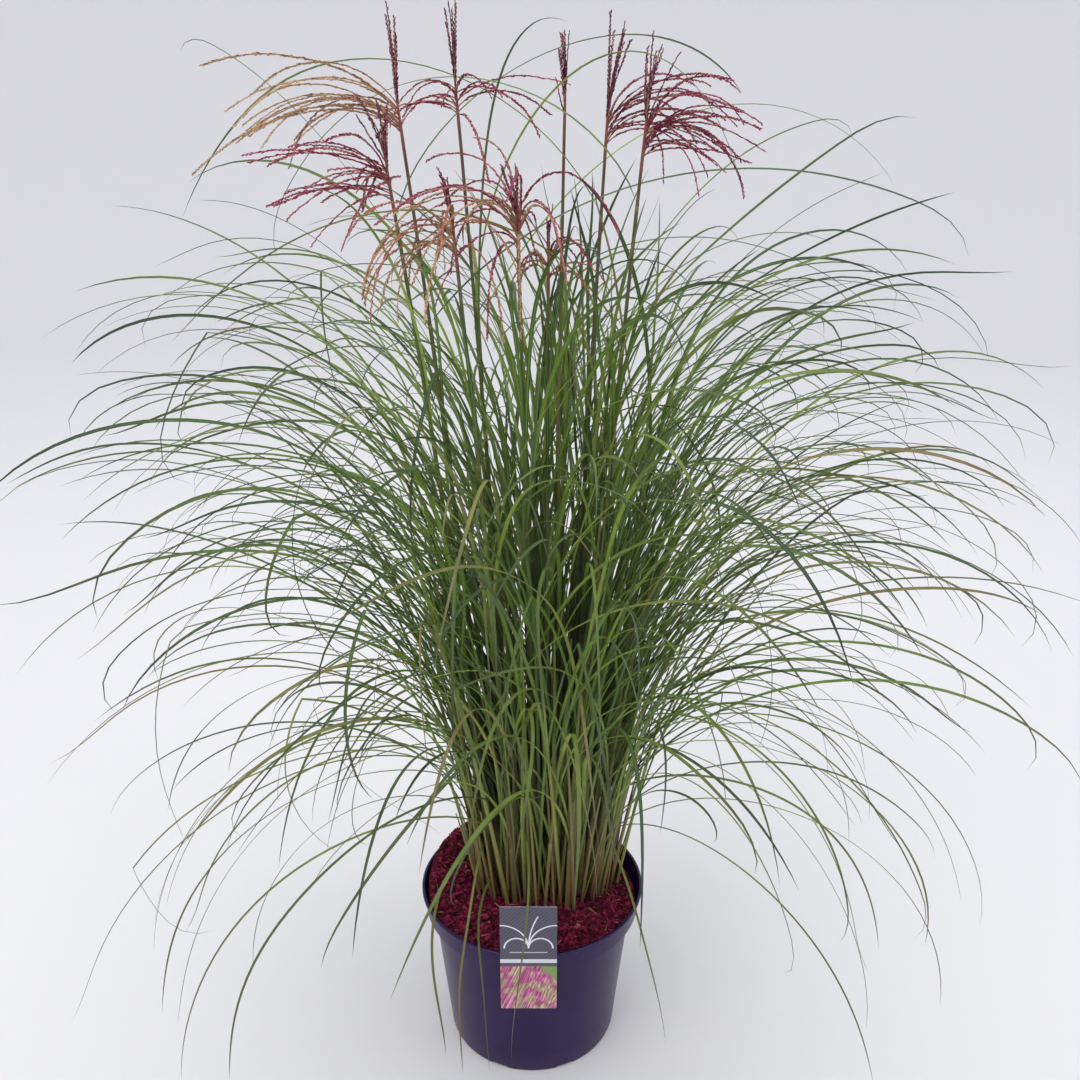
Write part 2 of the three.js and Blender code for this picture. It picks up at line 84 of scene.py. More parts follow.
# Label in metres, its print in millimetres down from the card's top
CARD = Values(wide=0.061, high=0.136, thick=0.0008, corner=0.0015, top=0.261, x=-0.003,
              face=-0.1304)
TONGUE = Values(wide=0.022, reach=0.121, foot=0.171, bridge=0.1957)
PRINT_EDGE = 0.3
TUFT_FOOT = 54.0
TUFT_ARCS = [(13, 20, 1.5), (-13, 20, 1.5), (30, 15, 1.3), (-30, 15, 1.3), (90, 12, 1.2)]
RULE = (59.0, 60.1)
RULE_HALF = 20.0
PALE_BAND = (68.5, 73.8)
FIELD_TOP = 78.0

# Growth rule, in millimetres: the same values and order of draws as the solids have
SEED = 20417
CLEARANCE = 0.7
CROWN = Values(x=15, y=21, wide=84, deep=63)
GOLDEN_TURN = 2.39996
SPOTS = 52
LEAFY_STEMS = 31
STEM_SPACING = 12.5
STEM_STRAY = (-3.5, 3.5)
STEM_FOOT = 132
STEM_NECK = 232
STEM_RADII = np.array([3.4, 3.3, 2.8, 2.2, 1.6])
SPEAR_RADIUS = 0.9
GATHER = 0.42
STEM_TOP = (652, 824)
STEM_TOP_FALL = 190
STEM_LEAN = (3, 8)
STEM_TILT = (0, 1.5)
STEM_TURN = (-0.4, 0.4)
STRAIGHT_SHARE = 0.65
LEAF_ROUNDS = 6
LOWEST_LEAF = STEM_NECK + 12
HIGHEST_LEAF = 775
BARE_TOP = 12
CROWDING = 0.84
LEAF_STEPS = 5
SHORT_LEAF = 590
ARC_STEPS = 60
LEAF_RADII = np.array([0.5, 0.52, 0.5, 0.42, 0.3])
LEAF_REACH = Values(x=610, y=500, shoulder=500, top=1100, floor=18)
LEAF_TRIES = 160
LEAF = Values(side=(10, 150), low_length=508, high_length=335, bulge=185, stretch=(0.8, 1.14),
              sideways=0.2, lean=(5, 22), droop=(104, 146), power=(1.15, 2.4),
              low=Values(lean=11, droop=18, power=-0.15), drift=(-35, 35), width=(3.3, 4.9))
KINK = Values(share=0.03, at=(0.5, 0.75), turn=(50, 90))
FLAG_LEAF = {"share": 0.6, "height": (790, 890), "length": (420, 540), "lean": (14, 32),
             "droop": (95, 125)}
KEEP_OFF = Values(rim=10, above=40, card=34, slope=0.9)
RACHIS_LENGTH = 45
RACHIS_RADIUS = 1.6
RACHIS_END = 3
RACEME_RADIUS = 1.4
RACEME_TRIES = 80
RACEME_STEPS = 8
CLOSED_STEPS = 4
CLOSED_RACEMES = 2
PLUME_OWNERS = 100
CLOSED = Values(turn=(-110, 110), stretch=(0.75, 1.1), lean=(0.1, 1), droop=(0.6, 1.6),
                power=(1.1, 1.3))
SPREAD = Values(stretch=(0.72, 1.1), lean=(-10, 10), droop=(0.85, 1.08), power=(0.45, 0.75))
RACEME_DRIFT = (-25, 25)

# The last three values of a plume are for this scene alone: how many more arching racemes it has
# for each grown one, the share of these that rise first, and its tone from purple to cream.
PLUME_VALUES = ("x", "y", "z", "side", "spread", "racemes", "length", "lean", "droop", "tip",
                "fan", "more", "rising", "tone")
PLUMES = [dict(zip(PLUME_VALUES, values)) for values in (
    (-121, 35, 1016, 182, 45, 7, 205, 38, 118, 75, 7, 1.3, 0, 0.79),
    (-70, 70, 1033, 250, 150, 4, 110, 42, 128, 62, 9, 2.4, 0, 0.48),
    (34, 105, 1035, 90, 150, 1, 45, 8, 14, 54, 7, 1.3, 0, 0.35),
    (72, 45, 1006, 5, 50, 6, 165, 38, 130, 78, 20, 1.2, 0.75, 0.4),
    (102, -15, 995, 0, 60, 8, 122, 52, 130, 72, 24, 1.2, 0.75, 0.36),
    (-123, -40, 961, 185, 85, 8, 125, 62, 118, 56, 38, 1.6, 0.4, 0.42),
    (-10, -60, 920, 190, 150, 8, 165, 24, 150, 45, 28, 1.8, 0.4, 0.7),
    (-63, -90, 914, 215, 110, 5, 140, 14, 170, 42, 16, 2.2, 0.15, 0.9),
    (17, -40, 889, 20, 120, 3, 90, 12, 172, 30, 12, 2.2, 0.3, 0.66),
)]

# What is added to the grown plant, in millimetres
EXTRA_SEED = 5081
EXTRA_ROUNDS = 7
EXTRA = Values(width=(2.3, 4.1), kinks=0.07, kink_at=(0.35, 0.8), kink=(45, 110),
               droop=(0.76, 1.06), drift=(0.8, 1.5))
TILLERS = 150
TILLER = Values(turn=1.3, top=(280, 700), lean=(2, 11), tilt=(0, 3), way=(-0.9, 0.9),
                radius=(1.0, 2.4), leaves=2, leafless=0.78, shorter=(0.5, 0.9))
INNER_BLADES = 165
INNER_ROOT = Values(turn=0.7, height=183, way=(-70, 70), splay=9)
INNER_BLADE = {"length": (390, 720), "lean": (1, 6), "droop": (34, 104), "power": (1.8, 3.4)}
UPPER_LEAVES = 52
UPPER_ROOT = Values(right_of=0, above=600, height=(560, 760), limit=1010)
UPPER_LEAF = {"length": (280, 430), "lean": (1, 10), "droop": (20, 80), "power": (1.2, 2.6)}
WEEPING_BLADES = 28
WEEPING_ROOT = Values(turn=(-1.2, 0.15), out=(0.4, 1), beyond=1.1, height=(220, 400), way=(-25, 25),
                      slim=0.78)
WEEPING = {"length": (420, 650), "lean": (10, 36), "droop": (165, 182), "power": (0.45, 0.85)}
WEEPING_LIMITS = Values(side=490, front=-225, floor=35)
FREE_DRIFT = (-22, 22)
POT_CLEARANCE = 3
POT_SKIN = 14
MORE_PRONGS = 5
MORE_DROOP = (0.9, 1.35)
MOST_DROOP = 172
RISING = {"lean": (4, 26), "droop": (95, 150), "power": (0.65, 1.0)}

# Shapes of the blades, culms and spikelets, in millimetres and degrees
FINE_WIDTH = 0.88
CURLED = Values(share=0.45, turn=(-45, 100), above=60, start=0.86)
BLADE = Values(twist=(-80, 80), roll=(-15, 15), sway=(-4, 4), waves=(5, 12), sheathed=0.45,
               open_by=0.14, fold=(0.6, 0.22), flat_by=0.3, thick=(0.55, 0.24))
WAVE_START = (0, 6)
CULM_SIDES = 7
CULM_ROW = 11
TILLER_ROW = 24
CULM_SLIM = 0.92
CULM_OVAL = 0.1
SHEATH = Values(swell=0.16, mean=0.35, below=60.0, above=80.0, lip=(1, 1.5))
RACHIS_SIDES = 6
RACHIS_STOPS = np.array([-0.14, -0.14, 0, 0.2, 0.4, 0.6, 0.8, 1, 1])
STRAND = Values(wave=0.6, waves=(9, 16), twist=(-90, 90), roll=(-40, 40), thick=(0.75, 0.3))
SPIKELET = Values(pitch=2.0, half=2.3, wide=0.8, deep=0.7, off=0.62, rank=(-0.8, 0.8),
                  lean=(0.06, 0.24), size=(0.82, 1.18), last=0.8)
HAIR = Values(share=0.14, out=(0, 0.9), aside=(-0.7, 0.7), length=(2.5, 5), thick=0.08)
HAIR_GRAIN = 2

# Long leaves that arch between the plumes: the stem, the height on it and the blade's values
BLADE_VALUES = ("azimuth", "drift", "length", "lean", "droop", "power", "width")
HIGH_LEAVES = [
    (0, 875, -161, -38, 342, 27.6, 71, 1.71, 2.4),
    (3, 948, 165, -18.6, 640, 26.3, 150, 0.89, 2.6),
    (4, 960, 155, -18.8, 619, 17.9, 150, 0.67, 2.6),
    (0, 564, 152, 4.7, 640, 13.8, 91, 1.15, 3.4),
    (4, 833, -146, -1.5, 499, 29.8, 138, 0.97, 4.0),
    (5, 946, 15, 43.4, 545, 4.6, 116, 0.58, 2.8),
    (1, 842, -45, -24, 573, 2.8, 150, 1.15, 2.4),
    (1, 806, -74, 11.5, 419, 3.7, 108, 2.2, 2.2),
    (1, 838, 42, -36.6, 637, 39.9, 144, 1.77, 2.8),
    (0, 843, 0.7, -14.2, 586, 39.1, 122, 0.99, 4.2),
    (3, 824, 5, -2, 353, 29.8, 91, 1.99, 3.0),
    (34, 599, -33, 43.4, 617, 4.2, 59, 0.51, 3.6),
    (4, 763, 13, -33, 376, 31.5, 72, 0.68, 3.4),
    (2, 880, -2.5, 20, 406, 39.8, 132, 0.57, 2.8),
]
# Blades that hang over the rim: the start and the blade's values
RIM_BLADES = [
    ((-69.9, 23.0, 184), -122.8, 60, 299, 6.7, 174, 0.63, 3.0),
    ((-52.5, -2.4, 257.7), -100.6, 6, 277, 69, 175, 0.57, 2.6),
    ((-35, 25, 195), -110.3, 43.6, 284, 65, 177.6, 1.27, 2.8),
    ((-37.7, 39.9, 248.9), -61.9, -60, 361, 36, 181, 0.82, 2.6),
    ((81, 20.5, 258.4), -69.9, 20, 271, 58, 168, 0.3, 3.0),
]

# Light: name, place, height aimed at, size, power and colour
SKY = ("#eaecf1", 1.14)
LIGHTS = [
    ("key", (-1.8, -2.2, 3.2), 0.5, 2.6, 34, (1.0, 0.99, 0.98)),
    ("fill", (2.6, -1.6, 2.2), 0.5, 2.2, 12, (0.97, 0.97, 1.0)),
    ("top", (0.2, 0.8, 3.6), 0.4, 3.0, 22, (1.0, 1.0, 1.0)),
]
CAMERA = Values(place=(0.0093, -1.040, 1.013), down=20.5, view=54)
FLOOR_REACH = 5.0
SWEEP_RADIUS = 2.5
BACKDROP_TOP = 4.5


def mix(a, b, t):
    return a + (b - a) * t


def draws_from(seed):
    """Seeded numbers between low and high."""
    state = seed

    def draw(low=0.0, high=1.0):
        nonlocal state
        state = (state * 1664525 + 1013904223) % 4294967296
        return low + (high - low) * state / 4294967296

    return draw


# The grown plant
def direction(lean, azimuth):
    lean, azimuth = np.radians(lean), np.radians(azimuth)
    level = np.sin(lean)
    return np.stack([level * np.cos(azimuth), level * np.sin(azimuth), np.cos(lean)], -1)


def arc_path(shape):
    """Points of a blade that leaves its start, leans out, then droops; degrees from upright."""
    m = (np.arange(ARC_STEPS) + 0.5) / ARC_STEPS
    lean = mix(shape["lean"], shape["droop"], m ** shape["power"])
    lean = lean + shape.get("kink", 0) * (m > shape.get("kink_at", 1))
    curled = np.clip((m - CURLED.start) / (1 - CURLED.start), 0, 1)
    lean = lean + shape.get("curl", 0) * curled ** 2
    steps = direction(lean, shape["azimuth"] + shape["drift"] * m) * shape["length"] / ARC_STEPS
    return np.vstack([shape["start"], shape["start"] + np.cumsum(steps, 0)])


def stretch_gaps(a, b, c, d):
    """The gap between each stretch a-b and each stretch c-d."""
    a, b, c, d = a[:, None], b[:, None], c[None], d[None]
    u, v, w = b - a, d - c, a - c
    uu, vv, uv = (u * u).sum(-1), (v * v).sum(-1), (u * v).sum(-1)
    uw, vw = (u * w).sum(-1), (v * w).sum(-1)
    spread = uu * vv - uv * uv
    s = np.where(spread > 1e-9, (uv * vw - uw * vv) / np.maximum(spread, 1e-9), 0)
    s = np.clip(s, 0, 1)
    t = (uv * s + vw) / vv
    s = np.where(t < 0, np.clip(-uw / uu, 0, 1), s)
    s = np.where(t > 1, np.clip((uv - uw) / uu, 0, 1), s)
    t = np.clip(t, 0, 1)
    gap = w + u * s[..., None] - v * t[..., None]
    return np.sqrt((gap * gap).sum(-1))


class Grown:
    """Everything that has grown so far, as stretches with a radius and an owner."""

    def __init__(self):
        self.start, self.end = np.zeros((0, 3)), np.zeros((0, 3))
        self.radius, self.owner = np.zeros(0), np.zeros(0)

    def settle(self, points, radii, owner):
        self.start = np.vstack([self.start, points[:-1]])
        self.end = np.vstack([self.end, points[1:]])
        self.radius = np.append(self.radius, radii[:len(points) - 1])
        self.owner = np.append(self.owner, np.full(len(points) - 1, owner))

    def is_clear(self, points, radii, owner):
        gaps = stretch_gaps(points[:-1], points[1:], self.start, self.end)
        gaps -= radii[:len(points) - 1, None] + self.radius
        gaps[0, self.owner == owner] = CLEARANCE
        return gaps.min() >= CLEARANCE


def is_inside(points):
    """Leaves keep off the floor and pot, leave the label in view and stay in the plant's reach."""
    quarters = [mix(points[:-1], points[1:], t) for t in (0, 0.25, 0.5, 0.75, 1)]
    x, y, z = np.concatenate(quarters).T
    if z.min() < LEAF_REACH.floor:
        return False
    shoulder = LEAF_REACH.shoulder
    rise = np.maximum(0, (z - shoulder) / (LEAF_REACH.top - shoulder))
    y_share = (y - CROWN.y) / LEAF_REACH.y
    if ((x / LEAF_REACH.x) ** 2 + y_share ** 2 + rise ** 2).max() > 1:
        return False
    rim = RIM_RADIUS / MM
    low = z < POT_HEIGHT / MM + KEEP_OFF.above
    if (low & (np.hypot(x, y) < rim + KEEP_OFF.rim)).any():
        return False
    shade = CARD.top / MM + KEEP_OFF.rim + KEEP_OFF.slope * (-y - rim)
    before_card = (abs(x - CARD.x / MM) < KEEP_OFF.card) & (y < -TONGUE.reach / MM)
    return not (before_card & (z < shade)).any()


def stem_curve(stem, u):
    """Points of a stem at shares u of its height: straight in the filling, then bending out."""
    u = np.asarray(u, float)[..., None]
    foot, top = stem["foot"], stem["top"]
    bend = mix(u * u, u, STRAIGHT_SHARE)
    return np.concatenate([mix(foot[:2], top[:2], bend), mix(foot[2], top[2], u)], -1)


def new_stem(x, y, top, plume=None):
    foot = np.array([x, y, STEM_FOOT])
    stem = {"foot": foot, "top": np.array(top), "plume": plume, "leaves": []}
    neck = (STEM_NECK - STEM_FOOT) / (top[2] - STEM_FOOT)
    stem["shares"] = np.array([0, neck, mix(neck, 1, 1 / 3), mix(neck, 1, 2 / 3), 1])
    stem["line"] = stem_curve(stem, stem["shares"])
    return stem


def leaning_stem(x, y, z, lean, way):
    """A stem up to height z that leans out by some degrees, in a direction in radians."""
    reach = math.tan(math.radians(lean)) * (z - STEM_FOOT)
    return new_stem(x, y, (x + reach * math.cos(way), y + reach * math.sin(way), z))


def point_at(line, z):
    i = max(1, int(np.argmax(line[:, 2] >= z)))
    return mix(line[i - 1], line[i], (z - line[i - 1][2]) / (line[i][2] - line[i - 1][2]))


def crown_spot(draw, share, turn):
    """A place in the crown at a share of the way out, and the outward direction in radians."""
    out = math.sqrt(share)
    x = CROWN.x + CROWN.wide * out * math.cos(turn) + draw(*STEM_STRAY)
    y = CROWN.y + CROWN.deep * out * math.sin(turn) + draw(*STEM_STRAY)
    return x, y, math.atan2(y - CROWN.y, x - CROWN.x), out


def grow_stems(draw, grown):
    stems = []

    def add(stem):
        grown.settle(stem["line"], STEM_RADII, len(stems))
        stems.append(stem)

    for plume in PLUMES:
        x, y = mix(CROWN.x, plume["x"], GATHER), mix(CROWN.y, plume["y"], GATHER)
        add(new_stem(x, y, (plume["x"], plume["y"], plume["z"]), plume))
    for i in range(SPOTS):
        if len(stems) == len(PLUMES) + LEAFY_STEMS:
            break
        x, y, outward, out = crown_spot(draw, (i + 0.5) / SPOTS, i * GOLDEN_TURN)
        near = [math.hypot(stem["foot"][0] - x, stem["foot"][1] - y) for stem in stems]
        if min(near) < STEM_SPACING:
            continue
        z = draw(*STEM_TOP) - STEM_TOP_FALL * out
        lean = draw(*STEM_LEAN) * out + draw(*STEM_TILT)
        stem = leaning_stem(x, y, z, lean, outward + draw(*STEM_TURN))
        if grown.is_clear(stem["line"], STEM_RADII, len(stems)):
            add(stem)
    return stems


def draw_leaf(draw, stem, share, last_round=False):
    """One leaf's draw: low leaves hang over the pot, middle ones reach out, top ones stand up."""
    span = min(stem["line"][4][2] - BARE_TOP, HIGHEST_LEAF) - LOWEST_LEAF
    height = LOWEST_LEAF + span * share(draw(0.1, 0.9)) ** CROWDING
    high = (height - LOWEST_LEAF) / (HIGHEST_LEAF - LOWEST_LEAF)
    root = point_at(stem["line"], height)
    outward = math.degrees(math.atan2(root[1] - CROWN.y, root[0] - CROWN.x))
    azimuth = outward + draw(-1, 1) * draw(*LEAF.side)
    sideways = 1 - LEAF.sideways * abs(math.sin(math.radians(azimuth)))
    bulge = LEAF.bulge * math.sin(math.pi * (0.1 + 0.9 * high))
    length = mix(LEAF.low_length, LEAF.high_length, high) + bulge
    low = LEAF.low
    leaf = {"azimuth": azimuth}
    leaf["length"] = length * draw(*LEAF.stretch) * sideways
    leaf["lean"] = draw(*LEAF.lean) + low.lean * (1 - high) ** 1.5
    leaf["droop"] = draw(*LEAF.droop) + low.droop * (1 - high)
    leaf["power"] = draw(*LEAF.power) + low.power * (1 - high) ** 2
    leaf["drift"] = draw(*LEAF.drift)
    leaf["width"] = draw(*LEAF.width)
    if draw() < KINK.share:
        leaf["kink_at"] = draw(*KINK.at)
        leaf["kink"] = draw(*KINK.turn)
    if stem["plume"] and last_round and draw() < FLAG_LEAF["share"]:
        height = draw(*FLAG_LEAF["height"])
        for key in ("length", "lean", "droop"):
            leaf[key] = draw(*FLAG_LEAF[key])
    leaf["height"] = height
    leaf["start"] = point_at(stem["line"], height)
    return leaf


def stops_along(path, stops):
    return path[(stops * ARC_STEPS + 0.5).astype(int)]


def grow_leaves(draw, stems, grown):
    """Each leaf is drawn again until it lies clear of everything that has grown."""
    for number in range(LEAF_ROUNDS):
        share = lambda d: (number + d) / LEAF_ROUNDS
        for owner, stem in enumerate(stems):
            for _ in range(LEAF_TRIES):
                leaf = draw_leaf(draw, stem, share, number == LEAF_ROUNDS - 1)
                steps = LEAF_STEPS - 1 if leaf["length"] < SHORT_LEAF else LEAF_STEPS
                stops = (np.arange(steps + 1) / steps) ** (1 / max(1, 0.8 * leaf["power"]))
                points = stops_along(arc_path(leaf), stops)
                radii = LEAF_RADII[:steps] * leaf["width"]
                if is_inside(points) and grown.is_clear(points, radii, owner):
                    grown.settle(points, radii, owner)
                    stem["leaves"].append(leaf)
                    break


def draw_raceme(draw, stem, share, closed):
    """One raceme's draw: closed ones stand at the plume's tip, others spread and hang aside."""
    plume, kind = stem["plume"], CLOSED if closed else SPREAD
    up = RACHIS_END + (RACHIS_LENGTH - 2 * RACHIS_END) * share(draw(0.2, 0.8))
    turn = draw(*CLOSED.turn) if closed else draw(-plume["spread"], plume["spread"])
    start = stem["line"][4] + stem["along"] * up
    shape = {"start": start, "azimuth": plume["side"] + turn, "closed": closed}
    shape["length"] = plume["tip" if closed else "length"] * draw(*kind.stretch)
    lean = draw(*kind.lean)
    shape["lean"] = lean * plume["fan"] if closed else lean + plume["lean"]
    shape["droop"] = draw(*kind.droop) * plume["fan" if closed else "droop"]
    shape["power"] = draw(*kind.power)
    shape["drift"] = draw(*RACEME_DRIFT)
    return shape


def grow_plumes(draw, stems, grown):
    """The last two racemes stand closed at a plume's tip, the others spread and hang aside."""
    for index, stem in enumerate(stems[:len(PLUMES)]):
        line = stem["line"]
        along = (line[4] - line[3]) / np.linalg.norm(line[4] - line[3])
        stem["along"], stem["racemes"] = along, []
        owner = PLUME_OWNERS + index
        rachis = np.array([line[4], line[4] + along * RACHIS_LENGTH])
        grown.settle(rachis, np.array([RACHIS_RADIUS]), owner)
        spreading = stem["plume"]["racemes"]
        count = spreading + CLOSED_RACEMES
        for i in range(count):
            closed = i >= spreading
            steps = CLOSED_STEPS if closed else RACEME_STEPS
            for _ in range(RACEME_TRIES):
                shape = draw_raceme(draw, stem, lambda d: (i + d) / count, closed)
                points = stops_along(arc_path(shape), np.arange(steps + 1) / steps)
                radii = np.full(steps + 1, float(RACEME_RADIUS))
                if grown.is_clear(points, radii, owner):
                    grown.settle(points, radii, owner)
                    stem["racemes"].append(shape)
                    break


# What joins the grown plant in this scene
def finer(draw, leaf):
    """A leaf that is drawn for this scene alone: narrower, and kinked more often."""
    leaf["width"] = draw(*EXTRA.width)
    if draw() < EXTRA.kinks:
        leaf["kink_at"] = draw(*EXTRA.kink_at)
        leaf["kink"] = draw(*EXTRA.kink)
    return leaf


def first_fit(make, fits=lambda leaf: is_inside(arc_path(leaf)[::12])):
    """The first of many draws that fits, in a list, or an empty list."""
    for _ in range(LEAF_TRIES):
        leaf = make()
        if fits(leaf):
            return [leaf]
    return []


def clears_pot(path):
    """Whether points lie outside the pot, above the bark or over the crown."""
    x, y, z = path.T
    out = np.hypot(x, y)
    wall = RIM_RADIUS / MM + POT_CLEARANCE
    low = (z < POT_HEIGHT / MM + POT_CLEARANCE) & (out < wall) & (out > wall - POT_SKIN)
    return not (low | ((z < BARK_LEVEL / MM) & (out < wall)) | (z < LEAF_REACH.floor)).any()


def add_leaves(draw, stems):
    """More leaves by the same draw, finer, which may touch their neighbours."""
    for number in range(EXTRA_ROUNDS):
        for stem in stems:
            def make():
                leaf = finer(draw, draw_leaf(draw, stem, lambda d: (number + d) / EXTRA_ROUNDS))
                leaf["droop"] *= draw(*EXTRA.droop)
                leaf["drift"] *= draw(*EXTRA.drift)
                return leaf

            stem["leaves"] += first_fit(make)


def add_high_leaves(stems):
    for owner, height, *values in HIGH_LEAVES:
        start = point_at(stems[owner]["line"], height)
        leaf = dict(zip(BLADE_VALUES, values), start=start, height=height)
        stems[owner]["leaves"].append(leaf)


def add_tillers(draw):
    """Thin young shoots between the stems, a few of them with leaves."""
    tillers = []
    for i in range(TILLERS):
        spot = crown_spot(draw, (i + 0.5) / TILLERS, i * GOLDEN_TURN + TILLER.turn)
        x, y, outward, out = spot
        z = draw(*TILLER.top)
        lean = draw(*TILLER.lean) * out + draw(*TILLER.tilt)
        tiller = leaning_stem(x, y, z, lean, outward + draw(*TILLER.way))
        tiller["radius"] = draw(*TILLER.radius)
        for k in range(TILLER.leaves if draw() > TILLER.leafless else 0):
            def make():
                leaf = finer(draw, draw_leaf(draw, tiller, lambda d: (k + d) / TILLER.leaves))
                leaf["length"] *= draw(*TILLER.shorter)
                return leaf

            tiller["leaves"] += first_fit(make)
        tillers.append(tiller)
    return tillers


def free_blade(draw, start, azimuth, kind):
    blade = {"start": np.array(start), "height": start[2], "azimuth": azimuth}
    blade["drift"] = draw(*FREE_DRIFT)
    for key in ("length", "lean", "droop", "power"):
        blade[key] = draw(*kind[key])
    return finer(draw, blade)


def add_upper_leaves(draw, stems):
    """Upright leaves near the tops of the taller stems."""
    right_of, above = UPPER_ROOT.right_of, UPPER_ROOT.above
    tall = [stem for stem in stems if stem["top"][0] > right_of and stem["top"][2] > above]
    for i in range(UPPER_LEAVES):
        stem = tall[i % len(tall)]

        def make():
            height = min(draw(*UPPER_ROOT.height), stem["top"][2] - BARE_TOP)
            return free_blade(draw, point_at(stem["line"], height), draw(0, 360), UPPER_LEAF)

        def fits(leaf):
            return "kink" not in leaf and arc_path(leaf)[:, 2].max() < UPPER_ROOT.limit

        stem["leaves"] += first_fit(make, fits)


def add_blades(draw):
    """Blades without a stem: upright in the crown, weeping low down, and over the rim."""
    blades = []
    for i in range(INNER_BLADES):
        def upright():
            spot = crown_spot(draw, (i + 0.5) / INNER_BLADES, i * GOLDEN_TURN + INNER_ROOT.turn)
            x, y, outward, out = spot
            way = math.degrees(outward) + draw(*INNER_ROOT.way)
            blade = free_blade(draw, (x, y, INNER_ROOT.height), way, INNER_BLADE)
            blade["lean"] += INNER_ROOT.splay * out ** 2
            return blade

        def in_crown(blade):
            path = arc_path(blade)
            return clears_pot(path[1:]) and is_inside(path[24::9])

        blades += first_fit(upright, in_crown)
    for i in range(WEEPING_BLADES):
        def weeping():
            turn = draw(*WEEPING_ROOT.turn)
            share = draw(*WEEPING_ROOT.out)
            x, y, outward, _ = crown_spot(draw, share, turn if i % 2 else math.pi - turn)
            beyond = WEEPING_ROOT.beyond
            start = (x * beyond, y * beyond, draw(*WEEPING_ROOT.height))
            way = math.degrees(outward) + draw(*WEEPING_ROOT.way)
            blade = free_blade(draw, start, way, WEEPING)
            blade["width"] *= WEEPING_ROOT.slim
            return blade

        def at_side(blade):
            path, limits = arc_path(blade), WEEPING_LIMITS
            low = path.min(0)
            kept_in = abs(path[:, 0]).max() < limits.side and low[1] > limits.front
            return kept_in and low[2] > limits.floor and is_inside(path[::9])

        blades += first_fit(weeping, at_side)
    for start, *values in RIM_BLADES:
        blades.append(dict(zip(BLADE_VALUES, values), start=np.array(start), curl=0))
    return blades


def add_racemes(draw, stems):
    """More racemes for each plume: arching ones to its side, straight ones at its tip."""
    for stem in stems[:len(PLUMES)]:
        plume = stem["plume"]
        arching = round(plume["racemes"] * plume["more"])
        count = arching + MORE_PRONGS
        for i in range(count):
            shape = draw_raceme(draw, stem, lambda d: (i + d) / count, i >= arching)
            if i < arching and draw() < plume["rising"]:
                for key, limits in RISING.items():
                    shape[key] = draw(*limits)
            elif i < arching:
                shape["droop"] = min(shape["droop"] * draw(*MORE_DROOP), MOST_DROOP)
            stem["racemes"].append(shape)


# Mesh building
def new_bmesh():
    bm = bmesh.new()
    return bm, bm.verts.layers.float_vector.new("blade")


def join(whole, part):
    """Adds a small bmesh to the whole one, far quicker than making each shape in the whole."""
    mesh = bpy.data.meshes.new("part")
    part.to_mesh(mesh)
    part.free()
    whole.from_mesh(mesh)
    bpy.data.meshes.remove(mesh)


def marks_for(rings, *values):
    """Three marks for each point of the rings, from numbers or arrays that spread over them."""
    marks = np.empty(rings.shape)
    for axis, value in enumerate(values):
        marks[..., axis] = value
    return marks


def sleeve(bm, layer, rings, marks):
    """A closed skin over rings of points: a rolled grid, with its seam and its ends merged."""
    rows, sides = rings.shape[:2]
    grid = bmesh.ops.create_grid(bm, x_segments=sides, y_segments=rows - 1, size=1)["verts"]
    for index, vert in enumerate(grid):
        row, column = divmod(index, sides + 1)
        vert.co = rings[row, column % sides]
        vert[layer] = marks[row, column % sides]
    bmesh.ops.remove_doubles(bm, verts=grid, dist=1e-7)


def add_sleeve(whole, rings, marks, skin=0):
    """Adds a sleeve in millimetres, with the skin at this place in the piece's materials."""
    bm, layer = new_bmesh()
    sleeve(bm, layer, rings * MM, marks)
    for face in bm.faces:
        face.material_index = skin
    join(whole, bm)


def unit(vectors):
    return vectors / np.maximum(np.linalg.norm(vectors, axis=-1, keepdims=True), 1e-12)


def closed_ends(sizes):
    """Sizes along a sleeve that come to a point at both ends."""
    sizes[[0, -1]] = 0
    return sizes[:, None]


def circle(sides, start=0.0, oval=0.0):
    turns = np.linspace(0, FULL_TURN, sides, endpoint=False) + start
    far = 1 + oval * np.cos(2 * turns)
    return np.stack([np.cos(turns) * far, np.sin(turns) * far, np.zeros(sides)], -1)


def frames_along(path, shape, m, twist):
    """At each point of a path: the way it runs, across it and under it, turned by twist."""
    along = unit(np.gradient(path, axis=0))
    azimuth = np.radians(shape["azimuth"] + shape["drift"] * m)
    level = np.stack([-np.sin(azimuth), np.cos(azimuth), np.zeros_like(azimuth)], -1)
    under = unit(np.cross(level, along))
    across = np.cross(along, under)
    turn = np.radians(twist)[:, None]
    across, under = (across * np.cos(turn) + under * np.sin(turn),
                     under * np.cos(turn) - across * np.sin(turn))
    return along, across, under


